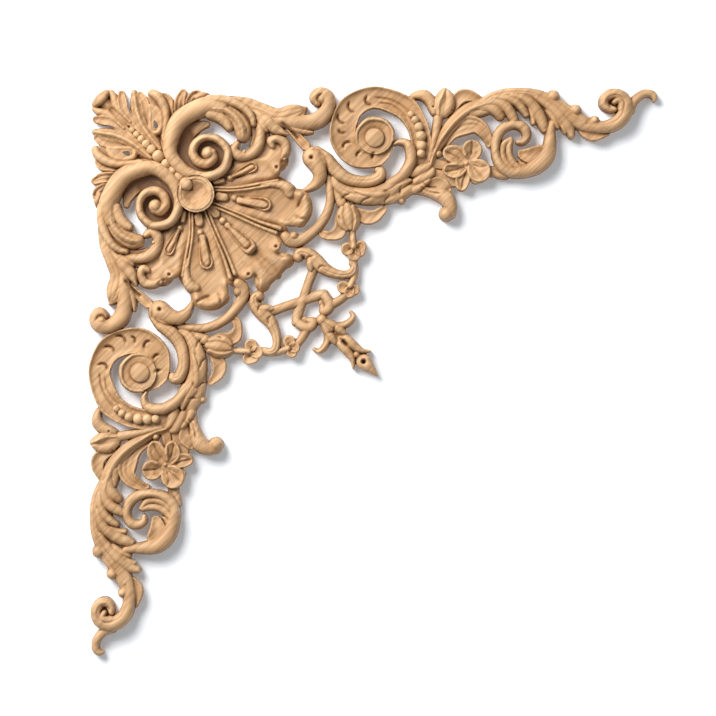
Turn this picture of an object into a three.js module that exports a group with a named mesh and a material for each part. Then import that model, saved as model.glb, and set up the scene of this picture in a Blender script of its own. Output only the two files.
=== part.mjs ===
// A carved corner onlay: two leafy scrolling arms that meet at a fan-shaped shell, glued flat to
// the corner of a door, a panel or a ceiling. The two arms mirror each other about the diagonal,
// so only the upper arm is drawn, and every stroke is laid down twice.

import * as THREE from "three";

// Driving dimensions, in millimetres.
const armLength = 452; // from the outer corner to the tip of one arm
const reliefDepth = 22; // from the wall to the crest of the highest scroll
const webHeight = 9.2; // thickness of the thin webs between the leaves
const hubDiameter = 29.4; // across the dished hub of the shell
const buttonDiameter = 28.5; // across the dished button in the side scroll
const bossDiameter = 15; // across the flat boss in that button
const eyeWidth = 4; // across the eye pierced in the corner leaf
const smallestOpening = 5; // in square mm: an opening with less area isn't sawn through

// The carving is drawn in shares of the arm and of the relief, as a carver enlarges a pattern.
const armSteps = 565;
const drawnLevels = 22;
const step = armLength / armSteps;
const hubPlace = 104.8; // centre of the shell along both arms, in steps; the part's origin
const fullness = 0.7; // added to each drawn half width, in steps

// The relief is worked out on a square lattice of places, one step apart, and then faceted.
const reach = 2; // steps past its edge over which a stroke's cover is worked out
const margin = Math.ceil(4 * reach); // steps of bare lattice round the drawing
const latticeSize = armSteps + 2 * margin;
const outlineFairness = 0.8; // largest gap between the true outline and its facets, in steps
const facetCount = 8800;
const edgeBand = 1.2; // a crest nearer to the outline than this takes no point of its own
const samplesPerStep = 1.2;

const heights = new Float64Array(latticeSize * latticeSize); // height over the wall, in levels
const cover = new Float64Array(latticeSize * latticeSize).fill(-margin); // steps inside the outline

// Cross-sections of a stroke: the share of its height at a share of its half width.
const sections = {
  round: (s) => 0.58 + 0.42 * Math.sqrt(1 - s * s),
  bead: (s) => 0.45 + 0.55 * Math.sqrt(1 - s * s),
  ridge: (s) => 1 - 0.34 * s,
  gouge: (s) => 0.78 + 0.22 * s * s,
  channel: (s) => 0.68 + 0.32 * s ** 6,
  flat: () => 1,
};

const nodeAt = (column, row) => row * latticeSize + column;
const inLattice = (place) => THREE.MathUtils.clamp(Math.round(place + margin), 0, latticeSize - 1);

// Points along a stroke as [a, b, half width, height]: a smooth curve through its few marks.
function wayThrough(marks) {
  const widened = marks.map(([a, b, w, h]) => [a, b, w + fullness, h]);
  if (widened.length === 1) return widened;
  const curve = (points) => new THREE.CatmullRomCurve3(points, false, "catmullrom");
  const way = curve(widened.map(([a, b]) => new THREE.Vector3(a, b, 0)));
  const size = curve(widened.map(([, , w, h]) => new THREE.Vector3(w, h, 0)));
  const count = Math.ceil(way.getLength() * samplesPerStep);
  return Array.from({ length: count + 1 }, (_, i) => {
    const spot = way.getPoint(i / count);
    const measure = size.getPoint(i / count);
    return [spot.x, spot.y, Math.max(measure.x, fullness), measure.y];
  });
}

// Visits each lattice place within reach of a stroke, with its nearest point along the stroke.
function forEachNear(way, visit) {
  const widest = Math.max(...way.map((point) => point[2])) + reach;
  const [columns, rows] = [0, 1].map((axis) => {
    const along = way.map((point) => point[axis]);
    return [inLattice(Math.min(...along) - widest), inLattice(Math.max(...along) + widest)];
  });
  for (let row = rows[0]; row <= rows[1]; row += 1) {
    for (let column = columns[0]; column <= columns[1]; column += 1) {
      let share = Infinity;
      let nearest = null;
      for (const point of way) {
        const distance = Math.hypot(column - margin - point[0], row - margin - point[1]) / point[2];
        if (distance < share) [share, nearest] = [distance, point];
      }
      visit(share, nearest, nodeAt(column, row));
      visit(share, nearest, nodeAt(row, column));
    }
  }
}

// One stroke of the gouge: a band of the given cross-section along its marks, with round ends.
function stroke(kind, marks) {
  forEachNear(wayThrough(marks), (share, [, , halfWidth, height], node) => {
    cover[node] = Math.max(cover[node], (1 - share) * halfWidth);
    if (share < 1) heights[node] = Math.max(heights[node], height * sections[kind](share));
  });
}

// A curl given by angle and distance round its centre: [degrees, radius, half width, height].
function spiral(kind, [a, b], turns) {
  stroke(kind, turns.map(([degrees, radius, w, h]) => {
    const angle = THREE.MathUtils.degToRad(degrees);
    return [a + radius * Math.cos(angle), b + radius * Math.sin(angle), w, h];
  }));
}

// A bead, a button or a ball.
function dome(a, b, radius, height) {
  stroke("bead", [[a, b, radius, height]]);
}

// A thin web of the board that ties the leaves together, as [a, b, half width].
function web(marks) {
  const webLevels = webHeight * drawnLevels / reliefDepth;
  stroke("flat", marks.map(([a, b, w]) => [a, b, w, webLevels]));
}

// A flat round boss.
function disc(a, b, radius, height) {
  stroke("flat", [[a, b, radius, height]]);
}

// A round dish: a raised rim round a hollow floor.
function dish(a, b, outer, rim, floorEdge, floorCentre) {
  const rimWidth = 0.32 * outer;
  const inner = outer - rimWidth;
  forEachNear([[a, b, outer, rim]], (share, _, node) => {
    cover[node] = Math.max(cover[node], (1 - share) * outer);
    if (share >= 1) return;
    const across = (share * outer - inner) / (rimWidth / 2) - 1;
    const floor = floorCentre + (floorEdge - floorCentre) * (share * outer / inner) ** 2;
    const bank = rim * sections.round(Math.min(Math.abs(across), 1));
    heights[node] = across < -1 ? floor : Math.max(floorEdge, bank);
  });
}

// A narrow opening right through the relief, as [a, b, half width].
function slit(marks) {
  const way = wayThrough(marks.map(([a, b, w]) => [a, b, w - fullness, 0]));
  forEachNear(way, (share, [, , halfWidth], node) => {
    cover[node] = Math.min(cover[node], (share - 1) * halfWidth);
  });
}

const neighbours = [-1, 0, 1].flatMap((across) => [-1, 0, 1].map((down) => [across, down]));

// Averages each place with the wood next to it, which also fills the places just outside the wood.
function evened(field) {
  const result = field.slice();
  for (let row = 1; row + 1 < latticeSize; row += 1) {
    for (let column = 1; column + 1 < latticeSize; column += 1) {
      let [sum, count] = [0, 0];
      for (const [across, down] of neighbours) {
        const value = field[nodeAt(column + across, row + down)];
        if (value > 0) [sum, count] = [sum + value, count + 1];
      }
      if (count > 0) result[nodeAt(column, row)] = sum / count;
    }
  }
  return result;
}

// Runs all that is laid so far into one flowing surface, as scraping does.
function soften(passes) {
  for (let pass = 0; pass < passes; pass += 1) {
    evened(heights).forEach((height, node) => {
      if (heights[node] > 0) heights[node] = height;
    });
  }
}

// Raises a gentle mound on the wood that is already there.
function swell(a, b, radius, rise) {
  forEachNear([[a, b, radius, rise]], (share, _, node) => {
    if (share < 1 && heights[node] > 0) heights[node] += rise * (1 - share * share) ** 2;
  });
}

// The fan shell fills the inner corner. Its flutes are shallow scoops that widen outwards and roll
// over at a scalloped rim, with a soft ball where two scallops meet. A carver bosts all of it in as one
// flowing surface before the ribs go on, so the first strokes are run together here.
function shellGround() {
  stroke("flat", [[26, 26, 6, 7], [60, 60, 7, 7.5], [100, 100, 9, 8]]);
  stroke("flat", [[112, 96, 10, 8], [140, 86, 12, 8], [168, 78, 12, 8], [184, 70, 12, 8]]);
  stroke("flat", [[118, 108, 10, 8], [150, 108, 15, 8], [185, 114, 18, 8], [200, 118, 16, 8]]);
  stroke("flat", [[118, 118, 12, 8], [150, 140, 14, 8], [178, 152, 10, 8]]);
  stroke("flat", [[140, 140, 14, 8], [168, 168, 18, 8], [178, 178, 12, 8]]);
  stroke("flat", [[120, 99, 5, 8], [150, 97, 8, 8], [180, 93, 7, 8], [196, 102, 8, 8]]);
  stroke("flat", [[120, 114, 5, 8], [150, 127, 8, 8], [180, 140, 7, 8], [190, 142, 6, 8]]);
  stroke("gouge", [[122, 95.4, 2.6, 9], [140, 88, 8, 11], [160, 80.6, 10.6, 12], [178, 78.6, 11, 13]]);
  stroke("flat", [[183, 57, 6, 10], [186, 64, 8, 11], [183, 70, 9, 12]]);
  stroke("gouge", [
    [120, 106, 4, 9], [142, 109.6, 11, 11.5], [165, 112.6, 15, 12], [188, 116, 18, 12.5],
    [200, 118, 18, 13],
  ]);
  stroke("round", [
    [204, 104, 4.4, 13.5], [210.6, 105.6, 4.6, 14], [214.2, 113.6, 5.4, 14.5],
    [213.6, 123.6, 5.6, 14.5], [208.4, 131.4, 5.6, 14],
  ]);
  stroke("gouge", [[119, 117, 3, 9], [140, 128.6, 7, 11.5], [163, 143, 9, 12], [179, 153.6, 10, 12.5]]);
  stroke("gouge", [[120, 120, 4, 9], [140, 140, 9, 11.5], [160, 160, 14, 12], [172, 172, 16, 12.5]]);
  stroke("round", [[174, 168, 6.8, 12], [185, 171.4, 9, 13], [194.6, 171, 6.8, 12]]);
  stroke("round", [[176, 176, 8, 12.5], [184, 184, 5.4, 12]]);
  stroke("round", [[176.6, 189.4, 4.6, 11.5], [183, 183, 5, 12], [189.4, 176.6, 4.6, 11.5]]);
  stroke("ridge", [[164, 164, 5, 11], [175, 175, 9, 13], [181, 181, 7.4, 12.5]]);
  soften(5);
  swell(211, 126, 8, 2.2);
  swell(208, 107, 8, 2);
  swell(194, 168, 7, 2.4);
  swell(185.4, 80.4, 8.6, 3.2);
  swell(185, 157, 8.4, 3.2);
  swell(193.6, 135.4, 8, 2.6);
}

// Between the leaves the board is carved down to thin webs, which tie the leaves together. They
// are flat bands that the leaves later stand on.
function webs() {
  stroke("flat", [[62, 48, 6, 7], [74, 60, 6, 8], [90, 88, 8, 8]]);
  web([[30, 20, 4], [38, 32, 5], [47, 30, 5], [56, 36, 8], [66, 50, 8]]);
  web([[27, 12, 3.4], [31, 22, 4]]);
  web([[46, 12, 4], [50, 24, 6], [54, 36, 6]]);
  web([[57, 14, 3], [66, 12, 8], [76, 22, 6.5], [80, 34, 5]]);
  web([[87, 20, 4], [98, 14.6, 4.6], [112, 9, 3]]);
  web([
    [115.6, 35, 2.6], [108.6, 36.4, 4.6], [100, 41, 6.8], [94, 49, 7.6], [92, 58, 7.5], [95, 69, 7],
    [103, 78, 5], [114, 81, 4], [126, 78, 4],
  ]);
  web([[108, 56, 5], [114, 62, 12], [124, 66, 12]]);
}

// Over the outer corner the leaf fans out in lobes, each gouged along its length, and a hooded
// lobe bends round a small eye that is pierced right through.
function cornerLeaves() {
  stroke("round", [[3.8, 14.8, 3.2, 11.5], [9.6, 9.6, 4.9, 13.5], [14.8, 3.8, 3.2, 11.5]]);
  stroke("round", [
    [19.6, 3.2, 2.6, 9], [22.4, 8.2, 3.6, 10], [25, 16.6, 4.6, 11], [30, 24.6, 4, 11.5],
    [38, 32.6, 3, 12],
  ]);
  stroke("gouge", [
    [30, 4.4, 2.8, 10], [31, 12.6, 4.4, 12], [34, 22, 4.6, 12.5], [40.4, 31.6, 4.8, 13],
    [52, 43.2, 3.8, 13.5], [64, 54.6, 3, 13.5],
  ]);
  slit([[38.2, 3, 0.9], [36.4, 14, 0.7], [38, 21, 0.8], [41.2, 27.4, 0.4]]);
  stroke("ridge", [
    [42.6, 3, 2.4, 11.5], [44.2, 12, 4.8, 13.5], [46, 23, 5.6, 14.5], [51, 35.6, 5.4, 15],
    [59, 47.6, 4.6, 15.5], [69, 59.6, 3.2, 15.5],
  ]);
  stroke("gouge", [
    [48.4, 5.4, 2.8, 10.5], [52.8, 12, 4, 12], [55, 22, 4, 12], [57, 34, 3.6, 12], [62, 46, 3, 12.5],
  ]);
  stroke("round", [
    [58.8, 17, 2.4, 12], [59.2, 25, 2.6, 12.5], [59, 33, 2.6, 12.5], [59.8, 40, 2.8, 12.5],
    [64, 43.6, 2.8, 13], [68.8, 40.6, 2.8, 13], [70, 32, 3, 13.5], [67.8, 23, 4, 13],
    [61.6, 17.6, 3.4, 12.5],
  ]);
  stroke("flat", [[61.4, 19.6, 3.6, 12], [63.6, 27, 4, 12], [64.4, 37, 4, 12]]);
  stroke("round", [
    [60.4, 4.1, 3.8, 13], [66.4, 7.5, 4.6, 14.5], [72.4, 16.6, 4.4, 15], [75, 28, 3.6, 15],
    [74, 40, 3, 14.5], [72, 52, 2.4, 14.5], [73, 60, 2, 14.5],
  ]);
  stroke("gouge", [[66, 7.6, 4.2, 12], [75.4, 10.6, 5, 13], [78.2, 20, 3.4, 13], [79.6, 31, 3.4, 13]]);
  const eyeHalf = eyeWidth / 2 / step;
  slit([[63.2, 31.4, 0.3], [64, 34.6, 0.8 * eyeHalf], [64.6, 37, eyeHalf]]);
  stroke("gouge", [[87.6, 20.6, 5, 12], [88.6, 11, 4.8, 12.5], [91.6, 3, 3, 10.5]]);
  stroke("gouge", [[98, 13.1, 4.4, 11.5], [102.6, 7.1, 4.8, 11.5], [106.4, 4, 2.8, 9]]);
  stroke("round", [[106, 8.2, 4, 10.5], [112, 6.2, 3.2, 10], [116, 6.2, 2, 8]]);
  slit([[82.6, 3, 1], [82.4, 8, 0.5]]);
  const diagonalPearls = [
    [40.6, 3, 12.5], [45.2, 3.2, 12.8], [50, 3.6, 13.2], [54.8, 4, 13.6], [60.6, 4.6, 14.2], [66.6, 5.2, 15],
    [71, 6, 15.5], [76, 3.6, 14], [81, 4, 14.4], [87, 4.8, 15], [95, 6.4, 16],
  ];
  for (const [at, radius, height] of diagonalPearls) dome(at, at, radius, height);
}

// A long acanthus leaf rolls over the centre volute and ends in a curled lip. Its folds are ridged
// strokes that lap over the rounded back of the leaf.
function acanthus() {
  stroke("round", [
    [140, 14.4, 7.6, 13], [155, 17.4, 8.8, 13.5], [170, 22.6, 8.4, 14], [186, 29, 9.8, 14],
    [201, 25.6, 10.2, 14], [210, 21.5, 4.4, 12], [213.8, 18.8, 1.6, 9],
  ]);
  stroke("round", [
    [165.6, 24, 3, 15], [175, 32, 6.2, 16.5], [184, 39.6, 5.4, 16.5], [192, 44, 2.2, 15.5],
    [195.6, 45.4, 0.6, 14.5],
  ]);
  stroke("round", [
    [178, 31, 3, 14], [192, 32, 6, 15], [206, 33.5, 7.2, 15.5], [219, 33, 7.6, 16], [229, 29, 8, 17],
    [236, 19.4, 7, 17], [235.4, 8.8, 7, 17], [229.2, 4.6, 6.2, 16.5], [223.8, 8, 6, 16],
    [226, 12.4, 4.8, 15],
  ]);
  dome(230.4, 10.5, 5, 17);
  stroke("round", [
    [196, 37, 2.4, 13.5], [205, 40.6, 3.2, 13.5], [214, 42.6, 2.8, 13], [220.6, 43.2, 1.2, 12],
  ]);
  stroke("gouge", [
    [194, 36, 2, 12], [201, 42.6, 3.2, 12.5], [207.6, 49.6, 4, 12.5], [213.6, 56.4, 4.4, 12.5],
  ]);
}

// The volute is the highest carving. Its band winds in two turns to a button, so it is drawn by
// angle and distance round its centre, and three finger leaves spring off its back.
function centreVolute() {
  spiral("round", [115, 63], [
    [-70, 46, 7, 19], [-90, 46, 9, 20], [-128, 41.5, 8.8, 21], [-160, 37.2, 7.4, 21.5],
    [-185, 35, 6.6, 21.5], [-225, 28.2, 6, 21], [-270, 24.8, 5, 20], [-315, 24, 4.4, 19.5],
    [-360, 21.6, 4, 19.5], [-405, 17, 3.8, 19.5], [-450, 14.6, 3.4, 19.5], [-495, 13.8, 3.8, 19.5],
    [-540, 13.4, 4.4, 19], [-585, 12.6, 4.8, 19], [-630, 11.6, 4.6, 19], [-675, 9, 4.6, 19],
    [-715, 6, 4, 19],
  ]);
  dome(117, 64.4, 6.8, 21.5);
  stroke("round", [
    [118, 11.6, 5.4, 18], [131, 11.2, 5, 18], [144, 15, 4.2, 18], [154.5, 21, 4, 17.5],
    [160.6, 28.6, 3.4, 17], [162.2, 35, 2.8, 16],
  ]);
  stroke("ridge", [
    [122, 20, 6, 19.5], [134, 21.5, 6.6, 19.5], [144.6, 29, 7.2, 19.5], [150.6, 39, 8, 19],
    [151.6, 46.5, 6.4, 18],
  ]);
  stroke("round", [
    [118, 24.6, 5.2, 18], [128, 28, 5.8, 18], [134.6, 33.2, 5.4, 17.5], [137.6, 38, 4.2, 17],
  ]);
}

// A hooked leaf turns back between the volute and the shell and closes the gap under the fingers.
function hookLeaf() {
  stroke("flat", [[144, 22, 7, 12], [153, 27, 5, 12], [158, 34, 4, 10.5]]);
  web([[164, 34, 5], [164.4, 46, 4], [162, 56, 3.6]]);
  web([[173, 46, 4.4], [173.4, 58, 6.4], [160, 71, 5], [146, 74, 4.6]]);
  stroke("round", [
    [145.4, 54.8, 2.9, 15], [142.2, 60.6, 4.6, 16], [146.6, 66, 5.2, 16], [154, 66.8, 4.6, 15],
    [161.6, 63, 5.4, 15], [167, 55.6, 5.2, 15.5], [169, 46, 4.6, 15], [168.6, 36, 4.6, 14],
  ]);
}

// Ribs part the flutes in pairs of fine beads, a loop with a bead at its neck lies on each flute,
// and the fan springs from a dished hub.
function shellRibs() {
  stroke("round", [[170, 95, 2, 13], [188, 95.6, 4.4, 15], [196, 99, 5.6, 16], [198, 104, 5, 15]]);
  stroke("round", [
    [180.6, 56.6, 3, 14], [179.4, 51.8, 4.2, 15], [185.6, 49.6, 4, 15], [193, 53.8, 4.6, 15],
    [194.2, 61.6, 4.4, 15], [191.6, 68.6, 3.2, 14.5],
  ]);
  stroke("round", [
    [121, 98, 1.2, 12], [145, 98.2, 1.3, 13], [168, 94.4, 1.5, 13.5], [186, 91.4, 1.6, 14],
  ]);
  stroke("round", [
    [121, 113, 1.2, 12], [145, 122.6, 1.4, 13], [168, 132.4, 1.6, 13.5], [188, 138.8, 2.4, 14],
  ]);
  stroke("flat", [[141.6, 86.4, 1.6, 12.6], [152, 81.4, 3.8, 13], [160.4, 77.6, 5, 13.2]]);
  stroke("flat", [[148, 111, 3.2, 13.2], [162, 113, 4.8, 13.6], [173, 115, 6.4, 13.8]]);
  stroke("flat", [[136, 136, 3, 13.2], [147, 147, 5.2, 13.6], [157, 157, 7, 13.8]]);
  dome(138.4, 88.6, 3, 14);
  dome(143, 108.8, 3.4, 14.2);
  dome(131.4, 131.4, 4, 14.6);
  dish(hubPlace, hubPlace, hubDiameter / 2 / step, 20, 19, 13);
}

// Beside the shell hangs a scroll with a pierced eye, and its stem runs under the side scroll and
// throws off a leafy crescent and an arching arm.
function dropScroll() {
  stroke("round", [
    [221.2, 67.8, 10.2, 16.5], [226.8, 78, 7.8, 16.5], [228.2, 87, 6.4, 15.5],
    [223.6, 94.6, 4.8, 14], [216.4, 99.2, 2.8, 12.5], [211.4, 101, 1, 10.5],
  ]);
  stroke("round", [
    [225, 62.4, 5, 14], [234.6, 69.6, 6, 15], [243, 80, 6.4, 15], [254, 88.6, 6.1, 15],
    [267, 92.2, 5.7, 15], [279, 91.6, 5.7, 15], [287.4, 87.6, 5.8, 15], [288.4, 82.6, 5, 15],
    [285.6, 80.8, 3, 14],
  ]);
  stroke("round", [
    [241, 89, 2.4, 11], [246.6, 97.4, 5, 13], [257, 103.4, 6.8, 14], [270, 106.4, 8.4, 14.5],
    [283, 106, 9, 14.5], [296, 101, 8.6, 14.5], [306, 94.8, 6.6, 14], [314, 91.6, 3.8, 13],
    [318.6, 90.8, 1.4, 12],
  ]);
  stroke("round", [
    [280, 109.4, 5.4, 12.5], [292, 109.6, 5, 12.5], [302, 107.4, 5.8, 12], [311, 103.4, 6, 12],
    [318, 99.6, 5, 11.5],
  ]);
  stroke("round", [
    [302.6, 54.6, 1.4, 13], [307.6, 52.6, 2.8, 14], [314.8, 54.4, 4, 15], [318.8, 62, 5.1, 15.5],
    [318.6, 72, 5.3, 15.5], [314.6, 81, 5.5, 15.5], [308, 88.4, 5, 15], [298, 95.4, 6, 14],
  ]);
  stroke("round", [
    [236.7, 88, 3, 10], [238.1, 100, 3.6, 11], [238.3, 112, 4, 11], [234.9, 124, 4.2, 11],
    [228.1, 135, 4.4, 11], [218.7, 144, 4.8, 11], [208.3, 150.8, 5.4, 11.5], [198.7, 151.2, 6, 12],
    [193.3, 146.4, 4.6, 12.5],
  ]);
  dome(202, 146.4, 4.4, 13);
}

// The side scroll is a wide band with raised rims that winds in to a dished button. It is drawn by
// angle and distance round the button.
function sideScroll() {
  spiral("channel", [283, 47], [
    [16, 18.4, 1.6, 14.5], [44, 19.2, 2.6, 14.8], [68, 21.2, 4.8, 15], [92, 22.6, 7.6, 15],
    [135, 28.2, 9.6, 15.5], [178, 32.2, 12.2, 16], [222, 36, 12.2, 16], [252, 38, 10.6, 16],
    [278, 38.4, 10.4, 16], [315, 40.8, 11, 16], [340, 43, 10, 15.5], [360, 45.4, 9.6, 15],
    [377, 49, 9, 14.5], [392, 55, 6.6, 13],
  ]);
  dish(283, 47.4, buttonDiameter / 2 / step, 13.4, 13.2, 10.4);
  spiral("round", [283, 47.4], [
    [14, 18.2, 1.2, 14.5], [-20, 18, 1.8, 15.5], [-60, 17.6, 2.2, 16], [-110, 17.6, 2.4, 16],
    [-160, 18.2, 2, 15.2], [-200, 18.6, 1.6, 13.8], [-230, 19.2, 1.1, 12], [-246, 19.8, 0.7, 10],
  ]);
  disc(282.6, 49, bossDiameter / 2 / step - fullness, 15.5);
  const scrollPearls = [[318.6, 25.4, 3, 15.5], [323, 31, 3.6, 16], [326.6, 38, 4.3, 16.5],
    [328.6, 47, 4.9, 16.5], [329, 56.2, 4.6, 16], [328.8, 64.4, 3.8, 15.5]];
  for (const pearl of scrollPearls) dome(...pearl);
}

// A tulip stands at the edge, and from the same root a long leaf arches away to the top band.
function tulip() {
  stroke("round", [
    [319.4, 12.6, 1.9, 9.5], [320.6, 7.6, 2.9, 10.5], [326, 6, 4.1, 11.5], [332.6, 6.4, 5.5, 12.5],
    [338, 11.6, 5.3, 12.5], [341, 19, 4.5, 12.5], [342, 23, 3.3, 12],
  ]);
  stroke("round", [[349, 24.6, 5.1, 12.5], [350, 18, 8.7, 12.5], [350.6, 10, 6.7, 12]]);
  stroke("ridge", [
    [346.6, 25, 3.7, 13.5], [346.4, 16, 6.1, 14.5], [349.4, 8, 5.1, 14.5], [352.2, 1.4, 2.7, 13.5],
  ]);
  stroke("round", [
    [352.6, 24.6, 3.9, 12.5], [357, 18, 5.1, 13.5], [357.6, 9.6, 4.7, 13.5], [355.2, 3.4, 2.9, 12.5],
  ]);
  stroke("gouge", [
    [360, 21.2, 3.5, 10], [363.4, 13.2, 5.3, 12], [369, 7.4, 6.3, 12.5], [376.4, 6.4, 5.5, 12.5],
    [383, 8.8, 4.1, 12], [388, 10.8, 2.9, 11],
  ]);
  stroke("round", [
    [346, 29, 4.5, 12], [343.4, 44, 3.9, 12.5], [340.2, 58, 3.3, 12.5], [337.6, 70, 3.3, 12],
  ]);
  stroke("ridge", [
    [338, 77, 2.9, 12], [341.6, 65, 4.1, 13.5], [347.6, 53, 5.1, 14], [355.4, 41, 5.9, 14.5],
    [365, 30, 6.7, 14.5], [377, 21, 7.3, 14.5], [390, 16, 6.7, 14.5], [400, 13.6, 5.3, 14.5],
  ]);
  stroke("round", [[378.6, 22.8, 5.6, 13], [387.6, 23.2, 4.4, 12.5], [394.6, 22.4, 3.2, 11.5]]);
  stroke("gouge", [
    [346.6, 63, 3.3, 9.5], [352, 54, 4.5, 10.5], [360.6, 43.6, 5.8, 12], [371, 36.6, 9.2, 13],
    [383, 35.8, 7.5, 13.5], [391, 41.6, 6.1, 13.5], [395.6, 50, 3.7, 12.5], [396.4, 56, 1.7, 11.5],
  ]);
}

// Five petals lie round a small heart, above a bract with a knob at its tip.
function flower() {
  stroke("gouge", [[380, 67, 5.2, 11], [379.8, 60.8, 9.6, 14.5]]);
  stroke("gouge", [[380, 75, 4, 11], [386.6, 81.6, 11.2, 14.5]]);
  stroke("gouge", [[373, 82, 4, 11], [370.4, 90, 6.8, 13.5], [369.6, 95.6, 5.6, 13.5]]);
  stroke("gouge", [[372, 77, 4, 10.5], [363.6, 80.6, 8, 13.5], [357.8, 80.8, 6.4, 14]]);
  stroke("gouge", [[373, 70, 4.8, 10.5], [364, 65.6, 8.8, 13.5], [358.6, 64.2, 7.6, 14]]);
  dome(374.4, 73.8, 2.4, 12);
  web([[342, 74, 5], [353, 76, 4]]);
  web([[343, 84, 4], [352, 87, 5]]);
  web([[350, 92, 6], [362, 92, 5]]);
  web([[392, 82, 5], [404, 82, 5]]);
  stroke("round", [
    [320.4, 84.6, 3.7, 11.5], [327, 81.4, 5.1, 13.5], [333.6, 78.6, 4.3, 13.5], [337, 76, 2.3, 12.5],
  ]);
  stroke("round", [
    [324, 92, 4.1, 12], [331, 88.6, 4.7, 13.5], [338, 84.4, 4.5, 13.5], [340.6, 80.6, 2.7, 12.5],
  ]);
  stroke("round", [[322.4, 100, 4.3, 12], [330, 96.6, 3.1, 13], [336.6, 90.6, 2.9, 12.5]]);
  web([[322, 98, 5.6], [334, 96, 9.4], [345, 95, 8.6]]);
  stroke("gouge", [
    [336, 97.6, 5.7, 11], [346, 96, 8.3, 12.5], [352, 98.6, 6.3, 12.5], [356.6, 100, 2.3, 11],
  ]);
  stroke("round", [
    [334, 101.6, 4.3, 12], [345.6, 104.6, 6.3, 13.5], [354.6, 109.4, 7.3, 14.5],
    [358.4, 117, 6.1, 14.5], [358.6, 124, 5.1, 13.5],
  ]);
  dome(354.2, 124.4, 7.1, 15.5);
}

// The round scroll closes on itself, with a leaf and a flap inside it.
function roundScroll() {
  stroke("round", [
    [426, 53, 2.2, 12.5], [430.6, 52.4, 3.4, 13], [434.2, 47.6, 4, 13.5], [433.2, 41, 4.7, 14],
    [427.6, 36.4, 4.5, 14], [419.6, 35.6, 4.1, 14], [410.4, 39.6, 4.7, 14.5], [404.6, 48, 4.8, 15],
    [403, 59, 4, 15.5], [404.8, 69.4, 4.4, 15.5], [411, 78.6, 5.4, 15.5], [422, 83.4, 5, 15.5],
    [434, 81.4, 6.2, 15.5], [446, 76, 7.4, 15.5], [454.6, 66.6, 7.4, 15], [457.4, 55, 6.2, 14.5],
    [458, 44, 4.6, 13.5], [459.4, 35, 4, 13],
  ]);
  stroke("round", [
    [418, 50, 2.3, 13], [411.6, 55, 3.5, 13.5], [409.8, 63, 3.3, 13.5], [412.4, 71.6, 3.7, 14],
    [418.4, 78, 3.5, 14],
  ]);
  stroke("round", [
    [418.4, 51, 2.5, 13], [416.4, 59, 3.5, 13.5], [417.4, 67.4, 3.7, 14], [421.4, 74.6, 3.7, 14],
    [428, 80, 3.3, 14],
  ]);
  stroke("gouge", [[429.6, 64.8, 4, 10], [438, 66.4, 7.4, 12], [447, 63, 7, 13]]);
  stroke("ridge", [[426.6, 71.6, 1, 12], [429.6, 75, 2.6, 13.5], [437, 78, 3, 14], [446, 76, 3, 14.5]]);
  stroke("round", [[400.6, 82, 3.3, 9.5], [406, 85.4, 3.1, 10], [414, 87, 2.7, 9.5]]);
}

// Finger leaves hang from the top band like the fringe of a fern, each with a side finger.
function fingerLeaves() {
  stroke("round", [
    [392, 11.4, 3.5, 13], [402, 7, 4.3, 13.5], [414, 4, 4.5, 14], [428, 3.4, 4.5, 14.5],
    [442, 5.4, 5.3, 14.5], [454, 11, 6.7, 14.5], [466, 20, 7.3, 14.5], [478, 28.4, 6.7, 14.5],
    [491, 34.6, 6.3, 14.5],
  ]);
  web([[400, 12, 4], [415, 12.6, 6], [430, 15, 7], [444, 20, 8], [456, 26, 7], [470, 33, 5]]);
  stroke("round", [
    [388.6, 17.6, 4.9, 13.5], [397.6, 18.2, 5.3, 14], [404, 21.6, 5.5, 14], [408, 26.2, 4.7, 12.5],
  ]);
  stroke("round", [
    [393, 14.2, 4.8, 14], [405, 13.4, 5.4, 14.5], [413.6, 17.6, 5.6, 15], [419, 25, 5, 14.5],
    [421.8, 30.4, 4.4, 13.5],
  ]);
  stroke("round", [
    [404, 8.6, 4.1, 14.5], [415.6, 9.6, 4.5, 15], [425, 14, 4.5, 15], [431, 20.6, 3.9, 14.5],
    [433.8, 25.2, 3.1, 13],
  ]);
  stroke("round", [
    [420, 6.6, 3.7, 15], [431, 9.6, 4.7, 15.5], [440, 16, 5.5, 15.5], [446.6, 26, 5.9, 15],
    [450.8, 36, 4.9, 14], [452, 40, 3.7, 12.5],
  ]);
  stroke("round", [
    [444, 9, 3, 15], [457, 17, 5, 15.5], [468, 27, 6, 15.5], [476, 37.6, 5.4, 15],
    [479, 46, 3.4, 13.5],
  ]);
}

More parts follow.
